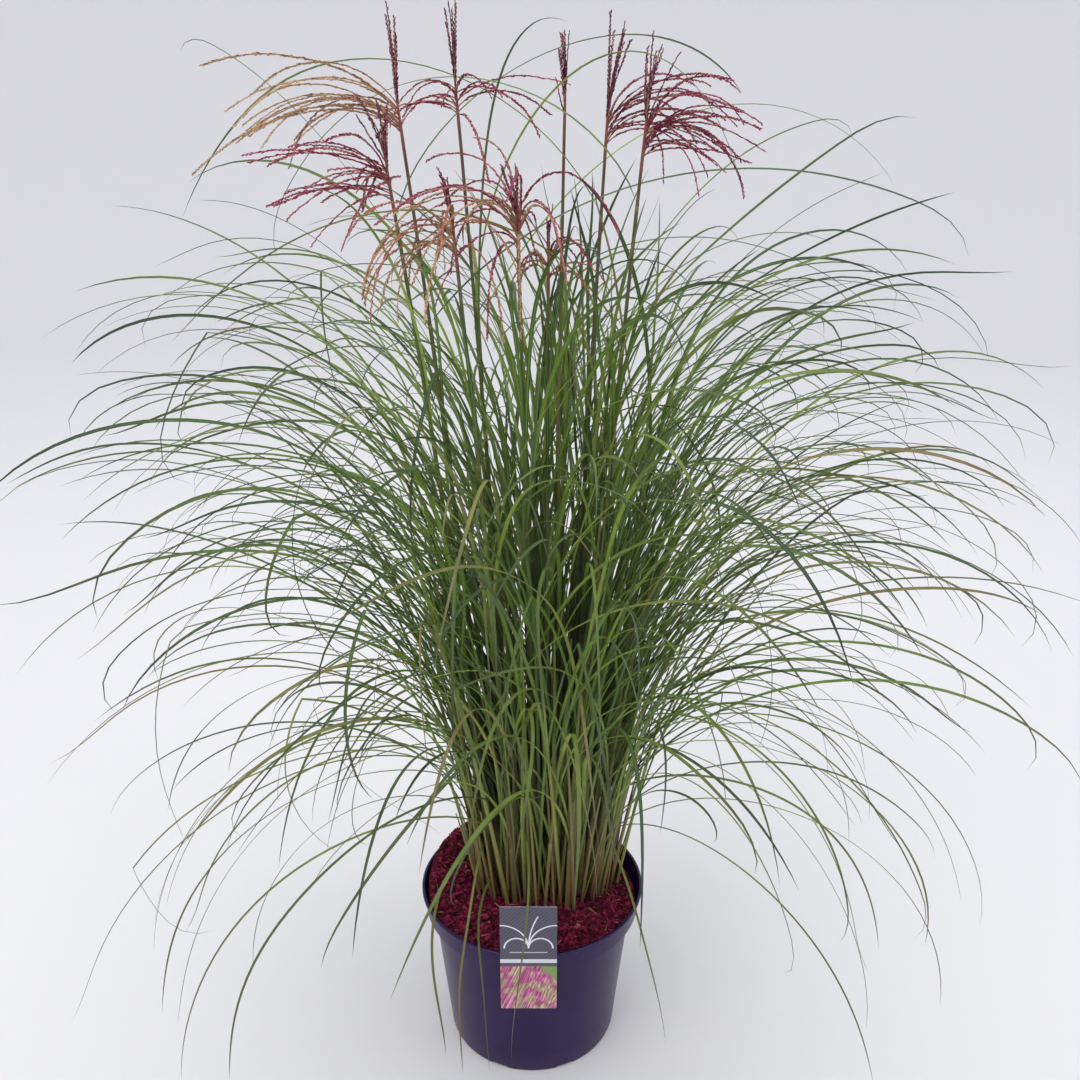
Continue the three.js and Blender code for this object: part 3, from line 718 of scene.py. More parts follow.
def leaf_blade(whole, leaf, draw):
    """A folded blade with two edges, a groove and a keel, from its sheath to a hair-fine tip."""
    turn = draw(*CURLED.turn)
    if draw() < CURLED.share and arc_path(leaf)[:, 2].min() > CURLED.above:
        leaf.setdefault("curl", turn)
    path = arc_path(leaf)[::2]
    m = np.linspace(0, 1, len(path))
    twist = draw(*BLADE.twist) * m ** 1.3 + draw(*BLADE.roll)
    _, across, under = frames_along(path, leaf, m, twist)
    sway = draw(*BLADE.sway) * np.sin(m * draw(*BLADE.waves) + draw(*WAVE_START)) * m
    path = path + across * sway[:, None]
    opening = mix(BLADE.sheathed, 1, np.clip(m / BLADE.open_by, 0, 1) ** 0.7)
    half = leaf["width"] * 0.5 * opening * np.maximum(1 - m ** 6, 0) ** 0.8
    half = closed_ends(half)
    fold = mix(*BLADE.fold, np.clip(m / BLADE.flat_by, 0, 1))[:, None]
    thick = mix(*BLADE.thick, m)[:, None] * (half > 0)
    rings = np.stack([
        path + across * half - under * half * fold,
        path - under * thick * 0.2,
        path - across * half - under * half * fold,
        path + under * thick,
    ], 1)
    add_sleeve(whole, rings, marks_for(rings, m[:, None], (-1, 0, 1, 0), draw()))


def culm(whole, stem, draw, radius_of, row=CULM_ROW):
    """A stem in its sheaths: each swells up to the leaf that leaves it, then steps in."""
    top = stem["top"][2]
    roots = sorted(leaf["height"] for leaf in stem["leaves"])
    heights = set(np.arange(STEM_FOOT, top, row)) | {top}
    for root in roots:
        heights |= {root - SHEATH.lip[0], root + SHEATH.lip[1]}
    heights = sorted(h for h in heights if STEM_FOOT <= h <= top)
    heights = np.array(heights[:1] + heights + heights[-1:])
    u = (heights - STEM_FOOT) / (top - STEM_FOOT)
    edges = np.array([STEM_FOOT - SHEATH.below] + roots + [top + SHEATH.above])
    sheath = np.searchsorted(edges, heights, side="right") - 1
    swell = (heights - edges[sheath]) / (edges[sheath + 1] - edges[sheath])
    radius = radius_of(u) * (1 + SHEATH.swell * (swell ** 2 - SHEATH.mean))
    around = circle(CULM_SIDES, draw(0, 1), CULM_OVAL)
    rings = stem_curve(stem, u)[:, None] + around * closed_ends(radius)[..., None]
    marks = marks_for(rings, heights[:, None] / 1000, swell[:, None], draw())
    add_sleeve(whole, rings, marks, skin=1)


def axes_at(x, y, z, centre):
    """A matrix from three axes and a centre in millimetres."""
    matrix = np.eye(4)
    matrix[:3] = np.stack([x, y, z, centre], 1) * MM
    return Matrix(matrix)


def mark(made, layer, *marks):
    for vert in made["verts"]:
        vert[layer] = marks


def raceme(whole, shape, draw, tone):
    """A raceme: its strand, spikelets in two ranks and their silky hairs."""
    bm, layer = new_bmesh()
    path = arc_path(shape)
    m = np.linspace(0, 1, len(path))
    path[:, 2] += STRAND.wave * np.sin(m * draw(*STRAND.waves) + draw(*WAVE_START)) * m
    twist = draw(*STRAND.twist) * m + draw(*STRAND.roll)
    along, across, under = frames_along(path, shape, m, twist)
    corners = np.stack([across, -0.5 * across + 0.87 * under, -0.5 * across - 0.87 * under], 1)
    thick = closed_ends(mix(*STRAND.thick, m))
    rings = path[:, None] + corners * thick[..., None]
    sleeve(bm, layer, rings * MM, marks_for(rings, m[:, None], 0, tone))
    count = round(shape["length"] / SPIKELET.pitch)
    for i in range(count):
        t = mix(0.03 if shape["closed"] else 0.09, 0.995, i / count)
        at = min(int(t * ARC_STEPS + 0.5), ARC_STEPS)
        point = np.array([np.interp(t, m, path[:, k]) for k in range(3)])
        rank = 1 if i % 2 else -1
        side = unit(across[at] * rank + under[at] * draw(*SPIKELET.rank))
        way = unit(along[at] + side * draw(*SPIKELET.lean))
        third = np.cross(way, side)
        size = draw(*SPIKELET.size) * mix(1, SPIKELET.last, t)
        long = SPIKELET.half * size
        centre = point + side * SPIKELET.off * size + way * long * 0.5
        place = axes_at(side * SPIKELET.wide * size, third * SPIKELET.deep * size,
                        way * long, centre)
        made = bmesh.ops.create_uvsphere(bm, u_segments=5, v_segments=3, radius=1, matrix=place)
        mark(made, layer, t, draw(0, 1), tone)
        if shape["closed"] or draw() > HAIR.share:
            continue
        turn = unit(way + side * draw(*HAIR.out) + third * draw(*HAIR.aside))
        reach = draw(*HAIR.length)
        place = axes_at(side * HAIR.thick, third * HAIR.thick, turn * reach,
                        centre + turn * reach / 2)
        made = bmesh.ops.create_cone(bm, cap_ends=True, segments=3, radius1=1, radius2=0,
                                     depth=1, matrix=place)
        mark(made, layer, t, HAIR_GRAIN, tone)
    join(whole, bm)


def link(name, data):
    made = bpy.data.objects.new(name, data)
    bpy.context.scene.collection.objects.link(made)
    return made


def mesh_object(name, bm, materials=()):
    mesh = bpy.data.meshes.new(name)
    bm.to_mesh(mesh)
    bm.free()
    for material in materials:
        mesh.materials.append(material)
    return link(name, mesh)


def finish_piece(name, bm, materials, nodes, crease=50, flat=False):
    """Makes a bmesh a piece of the object, smooth but for edges sharper than the crease."""
    bmesh.ops.recalc_face_normals(bm, faces=bm.faces[:])
    limit = math.radians(crease)
    for face in bm.faces:
        face.smooth = not flat
    for edge in bm.edges:
        edge.smooth = edge.calc_face_angle(0) < limit
    piece = mesh_object(name, bm, materials)
    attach(piece, "root")
    if nodes:
        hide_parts(*nodes)
    return piece


# Shader helpers
def colour(text):
    """A colour from its hexadecimal name, in linear light."""
    parts = [int(text[i:i + 2], 16) / 255 for i in (1, 3, 5)]
    return (*[c / 12.92 if c <= 0.04045 else ((c + 0.055) / 1.055) ** 2.4 for c in parts], 1)


def node(tree, kind, inputs=None, **settings):
    made = tree.nodes.new(kind)
    for key, value in settings.items():
        setattr(made, key, value)
    for key, value in (inputs or {}).items():
        feed(tree, made.inputs[key], value)
    return made


def feed(tree, socket, value):
    """Links a value to a socket, or sets the socket to a number or a colour's name."""
    if isinstance(value, Value):
        tree.links.new(value.socket, socket)
    else:
        socket.default_value = colour(value) if isinstance(value, str) else value


class Value:
    """What a node puts out, to reckon with and to feed to other nodes of its tree."""

    def __init__(self, tree, socket):
        self.tree, self.socket = tree, socket

    def through(self, kind, inputs, output=0, **settings):
        return Value(self.tree, node(self.tree, kind, inputs, **settings).outputs[output])

    def maths(self, operation, *others):
        inputs = dict(enumerate((self, *others)))
        return self.through("ShaderNodeMath", inputs, operation=operation)

    def __add__(self, other):
        return self.maths("ADD", other)

    def __sub__(self, other):
        return self.maths("SUBTRACT", other)

    def __rsub__(self, other):
        return self.through("ShaderNodeMath", {0: other, 1: self}, operation="SUBTRACT")

    def __mul__(self, other):
        return self.maths("MULTIPLY", other)

    def __truediv__(self, other):
        return self.maths("DIVIDE", other)

    def __abs__(self):
        return self.maths("ABSOLUTE")

    def between(self, low, high, start=0.0, end=1.0):
        """Runs from start to end as this value runs from low to high."""
        return self.through("ShaderNodeMapRange", {"Value": self, "From Min": low, "From Max": high,
                                                   "To Min": start, "To Max": end}, clamp=True)

    def mixed(self, a, b):
        """Colour a where this share is 0, colour b where it is 1."""
        return self.through("ShaderNodeMix", {0: self, 6: a, 7: b}, 2, data_type="RGBA")

    def ramp(self, *stops):
        """A smooth run of colours at places from 0 to 1."""
        made = node(self.tree, "ShaderNodeValToRGB", {"Fac": self})
        elements = made.color_ramp.elements
        while len(elements) < len(stops):
            elements.new(0.5)
        for element, (place, text) in zip(elements, stops):
            element.position = place
            element.color = colour(text)
        return Value(self.tree, made.outputs["Color"])

    def noise(self, scale, detail=3.0):
        inputs = {"Vector": self, "Scale": scale, "Detail": detail}
        return self.through("ShaderNodeTexNoise", inputs, "Fac")

    def bump(self, distance):
        """The normal of a surface that this height makes uneven."""
        return self.through("ShaderNodeBump", {"Height": self, "Distance": distance}, "Normal")

    def parts(self):
        """The X, Y and Z of a vector."""
        made = node(self.tree, "ShaderNodeSeparateXYZ", {"Vector": self})
        return [Value(self.tree, socket) for socket in made.outputs]


def layered(body, *layers):
    """A colour with others over it: each is a value, low, high, its share at both, and a colour."""
    for value, low, high, start, end, over in layers:
        body = value.between(low, high, start, end).mixed(body, over)
    return body


def object_place(tree, scale=(1, 1, 1)):
    place = Value(tree, node(tree, "ShaderNodeTexCoord").outputs["Object"])
    return place.through("ShaderNodeMapping", {"Vector": place, "Scale": scale}, "Vector")


def marks_of(tree):
    """The three marks that each point of a grown piece carries."""
    made = node(tree, "ShaderNodeAttribute", attribute_name="blade")
    return Value(tree, made.outputs["Vector"]).parts()


def material(name, roughness, specular, recipe, *values):
    """A material whose recipe gives what feeds the sockets of its shader."""
    made = bpy.data.materials.new(name)
    made.use_nodes = True
    tree = made.node_tree
    sockets = {"Roughness": roughness, "Specular IOR Level": specular, **recipe(tree, *values)}
    for key, value in sockets.items():
        feed(tree, tree.nodes["Principled BSDF"].inputs[key], value)
    return made


def shader_group(name, output, kind, recipe, **inputs):
    """A node group with named inputs and one output, which several materials place."""
    group = bpy.data.node_groups.new(name, "ShaderNodeTree")

    def add_socket(key, way, kind):
        return group.interface.new_socket(name=key, in_out=way, socket_type="NodeSocket" + kind)

    for key, value in inputs.items():
        feed(group, add_socket(key, "INPUT", "Color" if isinstance(value, str) else "Float"), value)
    add_socket(output, "OUTPUT", kind)
    given = group.nodes.new("NodeGroupInput").outputs
    result = recipe(group, *[Value(group, given[key]) for key in inputs])
    feed(group, group.nodes.new("NodeGroupOutput").inputs[output], result)
    return group


def placed(tree, group, **inputs):
    return Value(tree, node(tree, "ShaderNodeGroup", inputs, node_tree=group).outputs[0])


def fine_grain(tree, scale, height, stretch):
    """Fine unevenness of a surface, as a normal."""
    place = Value(tree, node(tree, "ShaderNodeTexCoord").outputs["Object"])
    squeeze = place.through("ShaderNodeCombineXYZ", {"X": 1.0, "Y": 1.0, "Z": stretch})
    place = place.through("ShaderNodeVectorMath", {0: place, 1: squeeze}, operation="MULTIPLY")
    return place.noise(scale, 4.0).bump(height)


def painted_shade_in_crown(tree, body, shade, share):
    """Paints shade into a colour, most at the crown's axis near the bark, and none outside it or in
    the top.
    """
    x, y, z = object_place(tree).parts()
    x = (x - CROWN.x * MM) / (CROWN.wide * MM)
    y = (y - CROWN.y * MM) / (CROWN.deep * MM)
    far = (x * x + y * y).maths("SQRT") / z.between(0.2, 0.75, 1.0, 1.9)
    depth = far.between(0.4, 1.1, 1.0, 0.0) * z.between(0.52, 0.85, 1.0, 0.0)
    return (depth * share).mixed(body, shade)


GRAIN = shader_group("surface_grain", "Normal", "Vector", fine_grain,
                     Scale=800.0, Height=0.0002, Stretch=1.0)
# Painted shade: a group that darkens a colour deep in the crown, where shadow falls between the
# stems
CROWN_PAINTED_SHADE = shader_group("crown_painted_shade", "Shaded", "Color", painted_shade_in_crown,
                           Body="#808080", Shade="#242429", Share=0.8)


# Materials
def leaf_green(tree):
    along, across, tint = marks_of(tree)
    green = tint.ramp((0.0, "#43662a"), (0.3, "#648a2a"), (0.6, "#86a434"), (0.9, "#a2bc48"),
                      (0.985, "#a08f50"))
    tip = tint.ramp((0.2, "#39433e"), (0.6, "#4a5442"), (0.92, "#646a42"), (0.985, "#8a7a58"))
    withered = tint.ramp((0.0, "#6d6b3e"), (0.35, "#77723f"), (0.7, "#6b5c44"), (1.0, "#8a7650"))
    mottle = object_place(tree, (1, 1, 0.4)).noise(26.0)
    height = object_place(tree).parts()[2]
    green = layered(
        green,
        (abs(across), 0.06, 0.28, 0.6, 0.0, "#a9bd85"),
        (along, 0.42, 0.95, 0.0, 0.9, tip),
        (mottle, 0.4, 0.7, 0.0, 0.35, "#33491f"),
        (along, 0.97, 1.0, 0.0, 0.5, "#8a6f4a"),
        (height, 0.2, 0.46, 0.75, 0.0, withered),
    )
    # Painted shade: leaves deep in the crown are darkened towards slate
    green = placed(tree, CROWN_PAINTED_SHADE, Body=green, Shade="#242429", Share=0.8)
    return {"Base Color": green, "Normal": (across * 30.0).maths("SINE").bump(0.00006)}


def culm_skin(tree, *stops):
    height, swell, tint = marks_of(tree)
    skin = layered(
        height.ramp(*stops),
        (object_place(tree, (1, 1, 0.03)).noise(900.0, 2.0), 0.42, 0.72, 0.0, 0.3, "#8f9a55"),
        (tint, 0.5, 0.95, 0.0, 0.75, "#62503c"),
        (tint, 0.16, 0.0, 0.0, 0.6, "#94ac4a"),
        (swell, 0.93, 1.0, 0.0, 0.4, "#a9ab74"),
        (swell, 0.0, 0.06, 0.45, 0.0, "#54392a"),
    )
    # Painted shade: culms deep in the crown are darkened towards slate
    skin = placed(tree, CROWN_PAINTED_SHADE, Body=skin, Shade="#262327", Share=0.65)
    grain = placed(tree, GRAIN, Scale=900.0, Height=0.00015, Stretch=0.05)
    return {"Base Color": skin, "Normal": grain}


def plume_silk(tree):
    """Runs from dark purple by crimson to cream with a plume's tone, and pales as it opens."""
    along, grain, tone = marks_of(tree)
    body = tone.ramp((0.0, "#400a34"), (0.2, "#680438"), (0.42, "#780034"), (0.62, "#8a1240"),
                     (0.8, "#946040"), (1.0, "#ae8e62"))
    ripe = tone.ramp((0.0, "#560c44"), (0.2, "#800848"), (0.42, "#9c0650"), (0.62, "#ac3460"),
                     (0.8, "#b8845e"), (1.0, "#d0b486"))
    return {"Base Color": layered(
        body,
        (along, 0.25, 0.9, 0.0, 0.85, ripe),
        (grain, 0.6, 0.9, 0.0, 0.7, "#4a0e24"),
        (grain, 0.2, 0.1, 0.0, 0.5, "#c89a80"),
        (along, 0.0, 0.1, 0.6, 0.0, "#6e2a22"),
        (grain, 1.2, 2.0, 0.0, 0.8, "#d2bdb4"),
    )}


def bark_red(tree):
    body = marks_of(tree)[2].ramp((0.0, "#2a0914"), (0.25, "#5c122c"), (0.6, "#881a40"),
                                  (0.95, "#a42e54"), (0.97, "#b08c60"))
    patch = object_place(tree).noise(260.0)
    return {"Base Color": layered(body, (patch, 0.45, 0.7, 0.0, 0.5, "#3a0e1a")),
            "Normal": placed(tree, GRAIN, Scale=1600.0, Height=0.0005)}


def damp_soil(tree):
    clod = object_place(tree).noise(220.0)
    return {"Base Color": clod.ramp((0.3, "#0f0a09"), (0.6, "#2a1a14"), (0.8, "#3d1620")),
            "Normal": placed(tree, GRAIN, Scale=420.0, Height=0.002)}


def pot_plastic(tree):
    """Dark blue-violet plastic with a light haze, and some dust near the foot."""
    place = object_place(tree)
    haze = place.noise(14.0)
    body = haze.between(0.35, 0.7).mixed("#1e073e", "#260c47")
    dust = place.parts()[2].between(0.0, 0.03, 0.4, 0.0) * place.noise(90.0)
    return {"Base Color": dust.mixed(body, "#5c5468"),
            "Roughness": haze.between(0.3, 0.7, 0.26, 0.36),
            "Normal": placed(tree, GRAIN, Scale=700.0, Height=0.00004)}


def card_print(tree):
    """A hatched panel with arching blades, a pale band and a field of soft streaks."""
    place = object_place(tree, (1 / MM,) * 3)
    x, _, z = place.parts()
    x = x - CARD.x / MM
    down = CARD.top / MM - z

    def band(low, high):
        return down.between(low, low + PRINT_EDGE) * down.between(high - PRINT_EDGE, high, 1.0, 0.0)

    hatch = ((x + down) * 1.3).maths("SINE")
    lines = band(*RULE) * abs(x).between(RULE_HALF, RULE_HALF + 0.4, 1.0, 0.0)
    for reach, top, thick in TUFT_ARCS:
        side, fall = (x - reach).maths("POWER", 2.0), (down - TUFT_FOOT).maths("POWER", 2.0)
        far = (side + fall).maths("SQRT")
        arc = abs(far - abs(reach)).between(thick * 0.5, thick * 0.5 + 0.25, 1.0, 0.0)
        arc = arc * down.between(top, top + 0.5)
        arc = arc * down.between(TUFT_FOOT, TUFT_FOOT + PRINT_EDGE, 1.0, 0.0)
        lines = lines.maths("MAXIMUM", arc)
    slant = down - abs(x) * 1.5
    tilt = place.through("ShaderNodeCombineXYZ", {"X": x * 0.5 + down * 0.2, "Y": slant * 0.06})
    streak = tilt.noise(1.1, 6.0)
    tan = streak.ramp((0.3, "#6d5a48"), (0.48, "#a58a70"), (0.56, "#c9aa92"), (0.68, "#e0c8b4"))
    pink = streak.ramp((0.3, "#6b2a50"), (0.46, "#a8487c"), (0.56, "#c46a98"), (0.68, "#e3a9c4"))
    field = place.noise(0.09, 1.0).between(0.42, 0.56).mixed(tan, pink)
    leafy = x + streak * 12.0 - (down - FIELD_TOP)
    field = layered(field, (leafy, 14.0, 20.0, 0.0, 0.9, "#6f9a48"))
    panel = hatch.between(0.2, 1.0, 0.0, 0.22).mixed("#494557", "#8a8596")
    panel = band(*PALE_BAND).mixed(lines.mixed(panel, "#e4e2e8"), "#d6d6de")
    panel = down.between(FIELD_TOP, FIELD_TOP + PRINT_EDGE).mixed(panel, field)
    normal = Value(tree, node(tree, "ShaderNodeNewGeometry").outputs["Normal"])
    return {"Base Color": layered(panel, (normal.parts()[1], -0.9, -0.5, 0.0, 1.0, "#c9c8ce"))}


def floor_paint(tree):
    return {"Base Color": "#e8e7e8"}


# Pieces that stand for the pot, its filling and the label
def turned(bm, profile, steps):
    """A closed wall turned about the Z axis from pairs of radius and height."""
    verts = [bm.verts.new((radius, 0, height)) for radius, height in profile]
    edges = [bm.edges.new(pair) for pair in zip(verts, verts[1:])]
    bmesh.ops.spin(bm, geom=verts + edges, cent=(0, 0, 0), axis=(0, 0, 1), angle=FULL_TURN,
                   steps=steps, use_merge=True)
    bmesh.ops.remove_doubles(bm, verts=bm.verts[:], dist=1e-6)


def body_radius(height, start, inwards=0.0):
    """The radius of the pot's sloping body at a height, from the height where it starts."""
    share = (height - start) / (BODY_TOP - start)
    return mix(BASE_RADIUS - inwards, BODY_TOP_RADIUS - inwards, share)


def make_pot():
    bm = bmesh.new()
    lip = POT_HEIGHT - LIP_HEIGHT
    turned(bm, [
        (0, 0),
        (BASE_RADIUS - BASE_RING, 0),
        (BASE_RADIUS - FOOT_ROUND, 0),
        (BASE_RADIUS - FOOT_ROUND * 0.3, FOOT_ROUND * 0.3),
        (BASE_RADIUS, FOOT_ROUND),
        *[(body_radius(height, FOOT_ROUND), height) for height in BODY_RINGS],
        (BODY_TOP_RADIUS, BODY_TOP),
        (COLLAR_RADIUS - LIP_EDGE, COLLAR_BOTTOM),
        (COLLAR_RADIUS, COLLAR_BOTTOM + LIP_EDGE),
        (COLLAR_RADIUS + COLLAR_FLARE, lip - 0.001),
        (RIM_RADIUS - LIP_EDGE * 0.6, lip),
        (RIM_RADIUS, lip + LIP_EDGE),
        (RIM_RADIUS, POT_HEIGHT - LIP_EDGE),
        (RIM_RADIUS - LIP_EDGE, POT_HEIGHT),
        (RIM_RADIUS - LIP_WIDTH + LIP_EDGE, POT_HEIGHT),
        (RIM_RADIUS - LIP_WIDTH, POT_HEIGHT - LIP_EDGE),
        (COLLAR_RADIUS - COLLAR_WALL, COLLAR_BOTTOM + 0.0015),
        (BODY_TOP_RADIUS - WALL, BODY_TOP),
        (BASE_RADIUS - WALL, FLOOR_THICKNESS),
        (0, FLOOR_THICKNESS),
    ], POT_STEPS)
    plastic = material("pot_plastic", 0.3, 0.27, pot_plastic)
    cut_drains(finish_piece("nursery_pot", bm, [plastic], ["pot"], crease=28))


def cut_drains(pot):
    """Cuts the drain notches out of the pot's foot."""
    bm = bmesh.new()
    for i in range(DRAIN_NOTCHES):
        turn = Matrix.Rotation((i + 0.5) * FULL_TURN / DRAIN_NOTCHES, 4, "Z")
        add_block(bm, turn @ Matrix.Translation((0, BASE_RADIUS, 0)), DRAIN_NOTCH)
    cutter = mesh_object("drain_cutter", bm)
    cut = pot.modifiers.new("drains", "BOOLEAN")
    cut.operation = "DIFFERENCE"
    cut.object = cutter
    bpy.context.view_layer.update()
    cut_pot = pot.evaluated_get(bpy.context.evaluated_depsgraph_get())
    shaped = bpy.data.meshes.new_from_object(cut_pot)
    pot.modifiers.clear()
    old = pot.data
    pot.data = shaped
    bpy.data.meshes.remove(old)
    bpy.data.objects.remove(cutter)


def add_block(bm, place, size):
    bmesh.ops.create_cube(bm, size=1, matrix=place @ Matrix.Diagonal((*size, 1)))


def bark_rise(x, y):
    left = np.maximum(0, (y - x) / RIM_RADIUS - HEAP.left)
    right = np.maximum(0, (y + x) / RIM_RADIUS - HEAP.right)
    return HEAP.height * (left - right) + HEAP.loose * np.minimum(left, 1) ** 2


def make_bark():
    """An uneven bed that reaches the pot's wall, with torn flakes, long shreds and crumbs on it."""
    draw = draws_from(BARK_SEED)
    whole, layer = new_bmesh()
    wall = body_radius(BODY_TOP, FLOOR_THICKNESS, WALL) - 0.001
    radii = np.concatenate([[wall, BARK_RADIUS], np.linspace(BARK_RADIUS, 0, BED.rings)])
    turns = np.linspace(0, FULL_TURN, BED.sides, endpoint=False)
    x, y = radii[:, None] * np.cos(turns), radii[:, None] * np.sin(turns)
    ripple = np.sin(x * 310) * np.cos(y * 270) + np.sin((x + y) * 190)
    z = BARK_LEVEL - BED.sunk + bark_rise(x, y) + BED.ripple * ripple
    z[0] = BARK_FOOT - BED.skirt
    z[1] = BARK_FOOT + BED.skirt
    z[-1] = z[-1].mean()
    under = np.tile([[0, 0, BARK_FOOT - BED.skirt]], (1, BED.sides, 1))
    bed = np.concatenate([under, np.stack([x, y, z], -1)])
    sleeve(whole, layer, bed, marks_for(bed, 0, 0, BED.tint))
    for _ in range(FLAKES.batches):
        bm, layer = new_bmesh()
        for _ in range(FLAKES.in_batch):
            add_flake(bm, layer, draw)
        join(whole, bm)
    bark = material("bark_red", 0.85, 0.25, bark_red)
    finish_piece("bark_flakes", whole, [bark], ["bark_mulch"], crease=20, flat=True)


def add_flake(bm, layer, draw):
    """A torn flake, or a long shred, lying on the bark with a tilt of its own."""
    shred = draw() < FLAKES.shreds
    if shred:
        long, wide = draw(*SHRED.long), draw(*SHRED.wide)
    else:
        long = draw(0.3, 1) ** 2 * FLAKE.long + FLAKE.least
        wide = long * draw(*FLAKE.wide)
    out = min(BARK_RADIUS * math.sqrt(draw()), BARK_RADIUS - long)
    turn = draw(0, FULL_TURN)
    x, y = out * math.cos(turn), out * math.sin(turn)
    z = BARK_LEVEL + float(bark_rise(x, y)) + draw(*FLAKES.lift)
    place = Matrix.Translation((x, y, z)) @ Matrix.Rotation(draw(0, FULL_TURN), 4, "Z")
    place = place @ Matrix.Rotation(draw(*FLAKES.tilt), 4, "Y")
    place = place @ Matrix.Rotation(draw(*FLAKES.roll), 4, "X")
    if shred:
        place = place @ Matrix.Rotation(math.pi / 2, 4, "Y")
        place = place @ Matrix.Diagonal((wide, wide, long * 2, 1))
    else:
        place = place @ Matrix.Diagonal((long, wide, long * draw(*FLAKE.thick), 1))
    straw = shred and draw() < FLAKES.straws
    made = bmesh.ops.create_cone(bm, cap_ends=True, segments=3 if shred else 5, radius1=1,
                                 radius2=draw(*FLAKES.taper), depth=1, matrix=place)
    mark(made, layer, 0, 0, STRAW_TINT if straw else draw(0, REDDEST))


def make_label():
    """A hang-over card with round corners, its bridge over the rim, and its tongue in the bark."""
    bm = bmesh.new()
    x, face, thick = CARD.x, CARD.face, CARD.thick
    wide, bridge = TONGUE.wide, TONGUE.bridge
    place = Matrix.Translation((x, face - thick / 2, CARD.top - CARD.high / 2))
    add_block(bm, place, (CARD.wide, thick, CARD.high))
    corners = [edge for edge in bm.edges
               if abs(edge.verts[0].co.y - edge.verts[1].co.y) > thick / 2]
    bmesh.ops.bevel(bm, geom=corners, offset=CARD.corner, segments=4, affect="EDGES",
                    profile=0.5, material=-1)
    inner = -TONGUE.reach + thick / 2
    deep = inner - face + thick / 2
    add_block(bm, Matrix.Translation((x, inner - deep / 2, bridge)), (wide, deep, thick))
    drop = bridge + thick / 2 - TONGUE.foot
    place = Matrix.Translation((x, -TONGUE.reach, TONGUE.foot + drop / 2))
    add_block(bm, place, (wide, thick, drop))
    card = material("card_print", 0.38, 0.5, card_print)
    finish_piece("printed_label", bm, [card], ["plant_label"], crease=30)


# The plant's pieces
def make_plant():
    draw, grown = draws_from(SEED), Grown()
    stems = grow_stems(draw, grown)
    grow_plumes(draw, stems, grown)
    grow_leaves(draw, stems, grown)
    for stem in stems:
        for leaf in stem["leaves"]:
            leaf["width"] *= FINE_WIDTH
    extra = draws_from(EXTRA_SEED)
    add_leaves(extra, stems)
    add_high_leaves(stems)
    add_upper_leaves(extra, stems)
    add_racemes(extra, stems)
    tillers = add_tillers(extra)
    blades = add_blades(extra)
    green = material("leaf_green", 0.42, 0.4, leaf_green)
    silk = material("plume_silk", 0.6, 0.3, plume_silk)
    leafy = material("leafy_culm", 0.48, 0.4, culm_skin, (0.17, "#5a3c30"), (0.215, "#8a7048"),
                     (0.28, "#857c4c"), (0.42, "#7c8a46"), (0.7, "#6c8a34"))
    flowering = material("flowering_culm", 0.48, 0.4, culm_skin, (0.16, "#5e4034"),
                         (0.22, "#7a7a44"), (0.5, "#66742f"), (0.8, "#56662e"),
                         (0.94, "#4c4a2c"), (1.0, "#5e2e2a"))
    for number, stem in enumerate(stems, 1):
        kind, skin, tip = "leafy", leafy, SPEAR_RADIUS
        if stem["plume"]:
            kind, skin, tip = "flowering", flowering, STEM_RADII[4]
        name = f"{kind}_stem_{number:02d}"
        radii = np.append(STEM_RADII[:4], tip)
        whole, _ = new_bmesh()
        culm(whole, stem, extra, lambda u: np.interp(u, stem["shares"], radii) * CULM_SLIM)
        for leaf in stem["leaves"]:
            leaf_blade(whole, leaf, extra)
        finish_piece(name + "_fine", whole, [green, skin], [name])
        if stem["plume"]:
            make_plume(f"plume_{number:02d}", stem, extra, silk)
    make_shoots("young_shoots", tillers, [], extra, [green, leafy])
    make_shoots("crown_blades", [], blades, extra, [green])


def make_shoots(name, tillers, blades, draw, materials):
    """A piece of thin shoots with their leaves, or of blades alone."""
    whole, _ = new_bmesh()
    for tiller in tillers:
        culm(whole, tiller, draw, lambda u: tiller["radius"] * mix(1.1, 0.4, u ** 2), TILLER_ROW)
        for leaf in tiller["leaves"]:
            leaf_blade(whole, leaf, draw)
    for blade in blades:
        leaf_blade(whole, blade, draw)
    finish_piece(name, whole, materials, [])


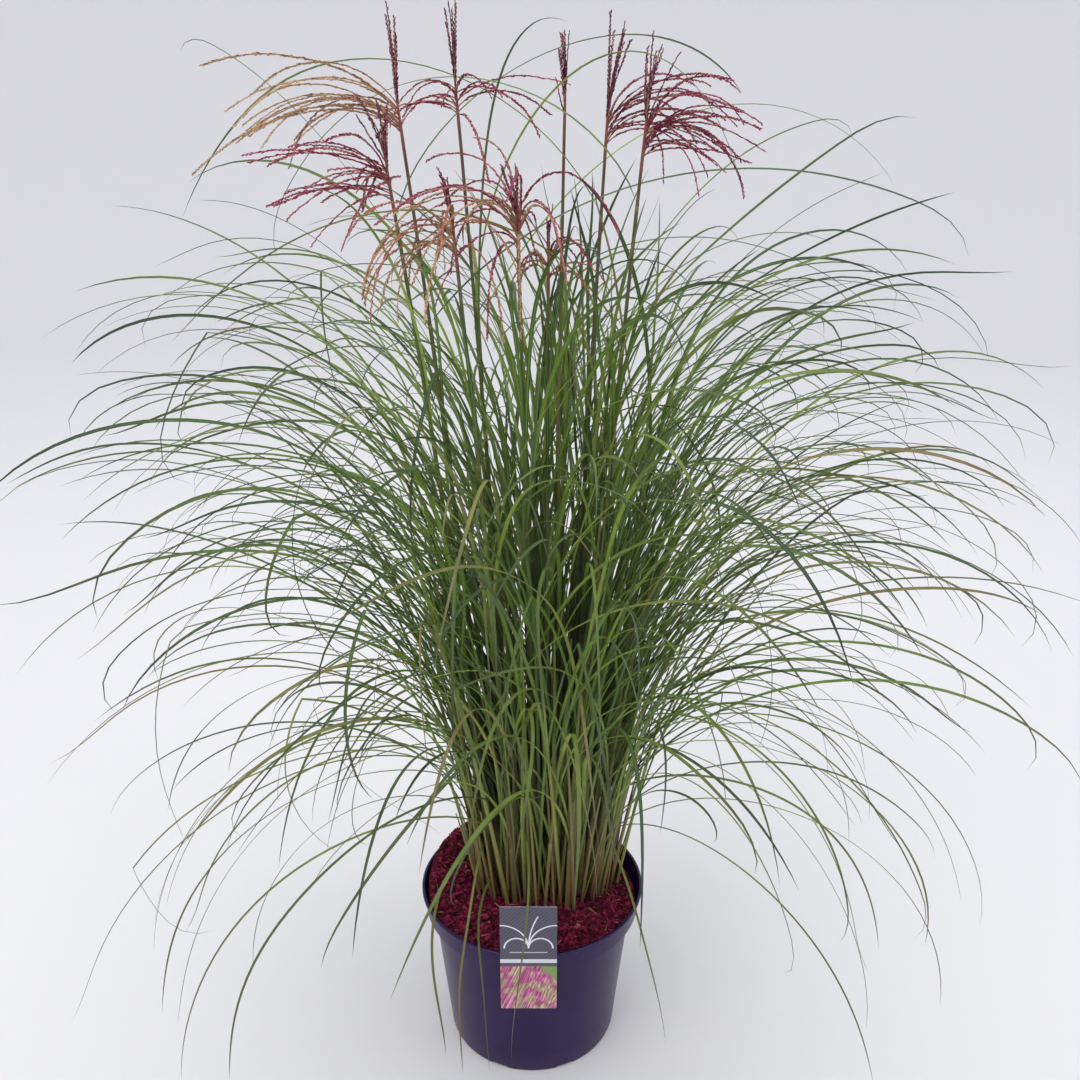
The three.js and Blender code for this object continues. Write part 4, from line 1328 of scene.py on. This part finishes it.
def make_plume(name, stem, draw, silk):
    """A plume: a rachis that stands in the stem's top, and its racemes."""
    whole, _ = new_bmesh()
    radius = closed_ends(mix(STEM_RADII[4], 0.9, np.maximum(RACHIS_STOPS, 0)))
    points = stem["line"][4] + RACHIS_STOPS[:, None] * stem["along"] * RACHIS_LENGTH
    rings = points[:, None] + circle(RACHIS_SIDES) * radius[..., None]
    add_sleeve(whole, rings, marks_for(rings, 0, 0, 0.15))
    for shape in stem["racemes"]:
        if shape["closed"]:
            tone = draw(0, 0.16)
        else:
            tone = np.clip(stem["plume"]["tone"] + draw(-0.2, 0.2), 0.2, 1)
        raceme(whole, shape, draw, tone)
    finish_piece(name + "_fine", whole, [silk], [name], crease=80)


def dress_soil():
    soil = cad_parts["potting_soil"]
    soil.data.materials.clear()
    soil.data.materials.append(material("damp_soil", 0.95, 0.2, damp_soil))


# Stage, light and camera
def make_stage():
    """A pale floor that sweeps up all round into a pale backdrop, far from the plant."""
    bm = bmesh.new()
    sweep = [(0, 0), (1.5, 0), (FLOOR_REACH, 0)]
    for a in np.linspace(0.15, math.pi / 2, 10):
        rise = SWEEP_RADIUS - SWEEP_RADIUS * math.cos(a)
        sweep.append((FLOOR_REACH + SWEEP_RADIUS * math.sin(a), rise))
    sweep.append((FLOOR_REACH + SWEEP_RADIUS, BACKDROP_TOP))
    turned(bm, sweep, 64)
    for face in bm.faces:
        face.smooth = True
    sweep_object = mesh_object("stage_sweep", bm, [material("floor_paint", 0.8, 0.2, floor_paint)])


def make_light():
    scene = bpy.context.scene
    scene.view_settings.view_transform = "Standard"
    world = bpy.data.worlds.new("studio")
    scene.world = world
    world.use_nodes = True
    sky = world.node_tree.nodes["Background"]
    sky.inputs["Color"].default_value = colour(SKY[0])
    sky.inputs["Strength"].default_value = SKY[1]
    for name, place, aim, size, power, tone in LIGHTS:
        lamp = bpy.data.lights.new(name, "AREA")
        lamp.shape = "DISK"
        lamp.size = size
        lamp.energy = power
        lamp.color = tone
        made = link(name, lamp)
        made.location = place
        aimed = (Vector((0, 0, aim)) - Vector(place)).to_track_quat("-Z", "Y")
        made.rotation_euler = aimed.to_euler()


def make_camera():
    data = bpy.data.cameras.new("camera")
    data.angle = math.radians(CAMERA.view)
    camera = link("camera", data)
    camera.location = CAMERA.place
    camera.rotation_euler = (math.radians(90 - CAMERA.down), 0, 0)
    bpy.context.scene.camera = camera


make_camera()
make_light()
make_stage()
make_pot()
make_bark()
make_label()
dress_soil()
make_plant()
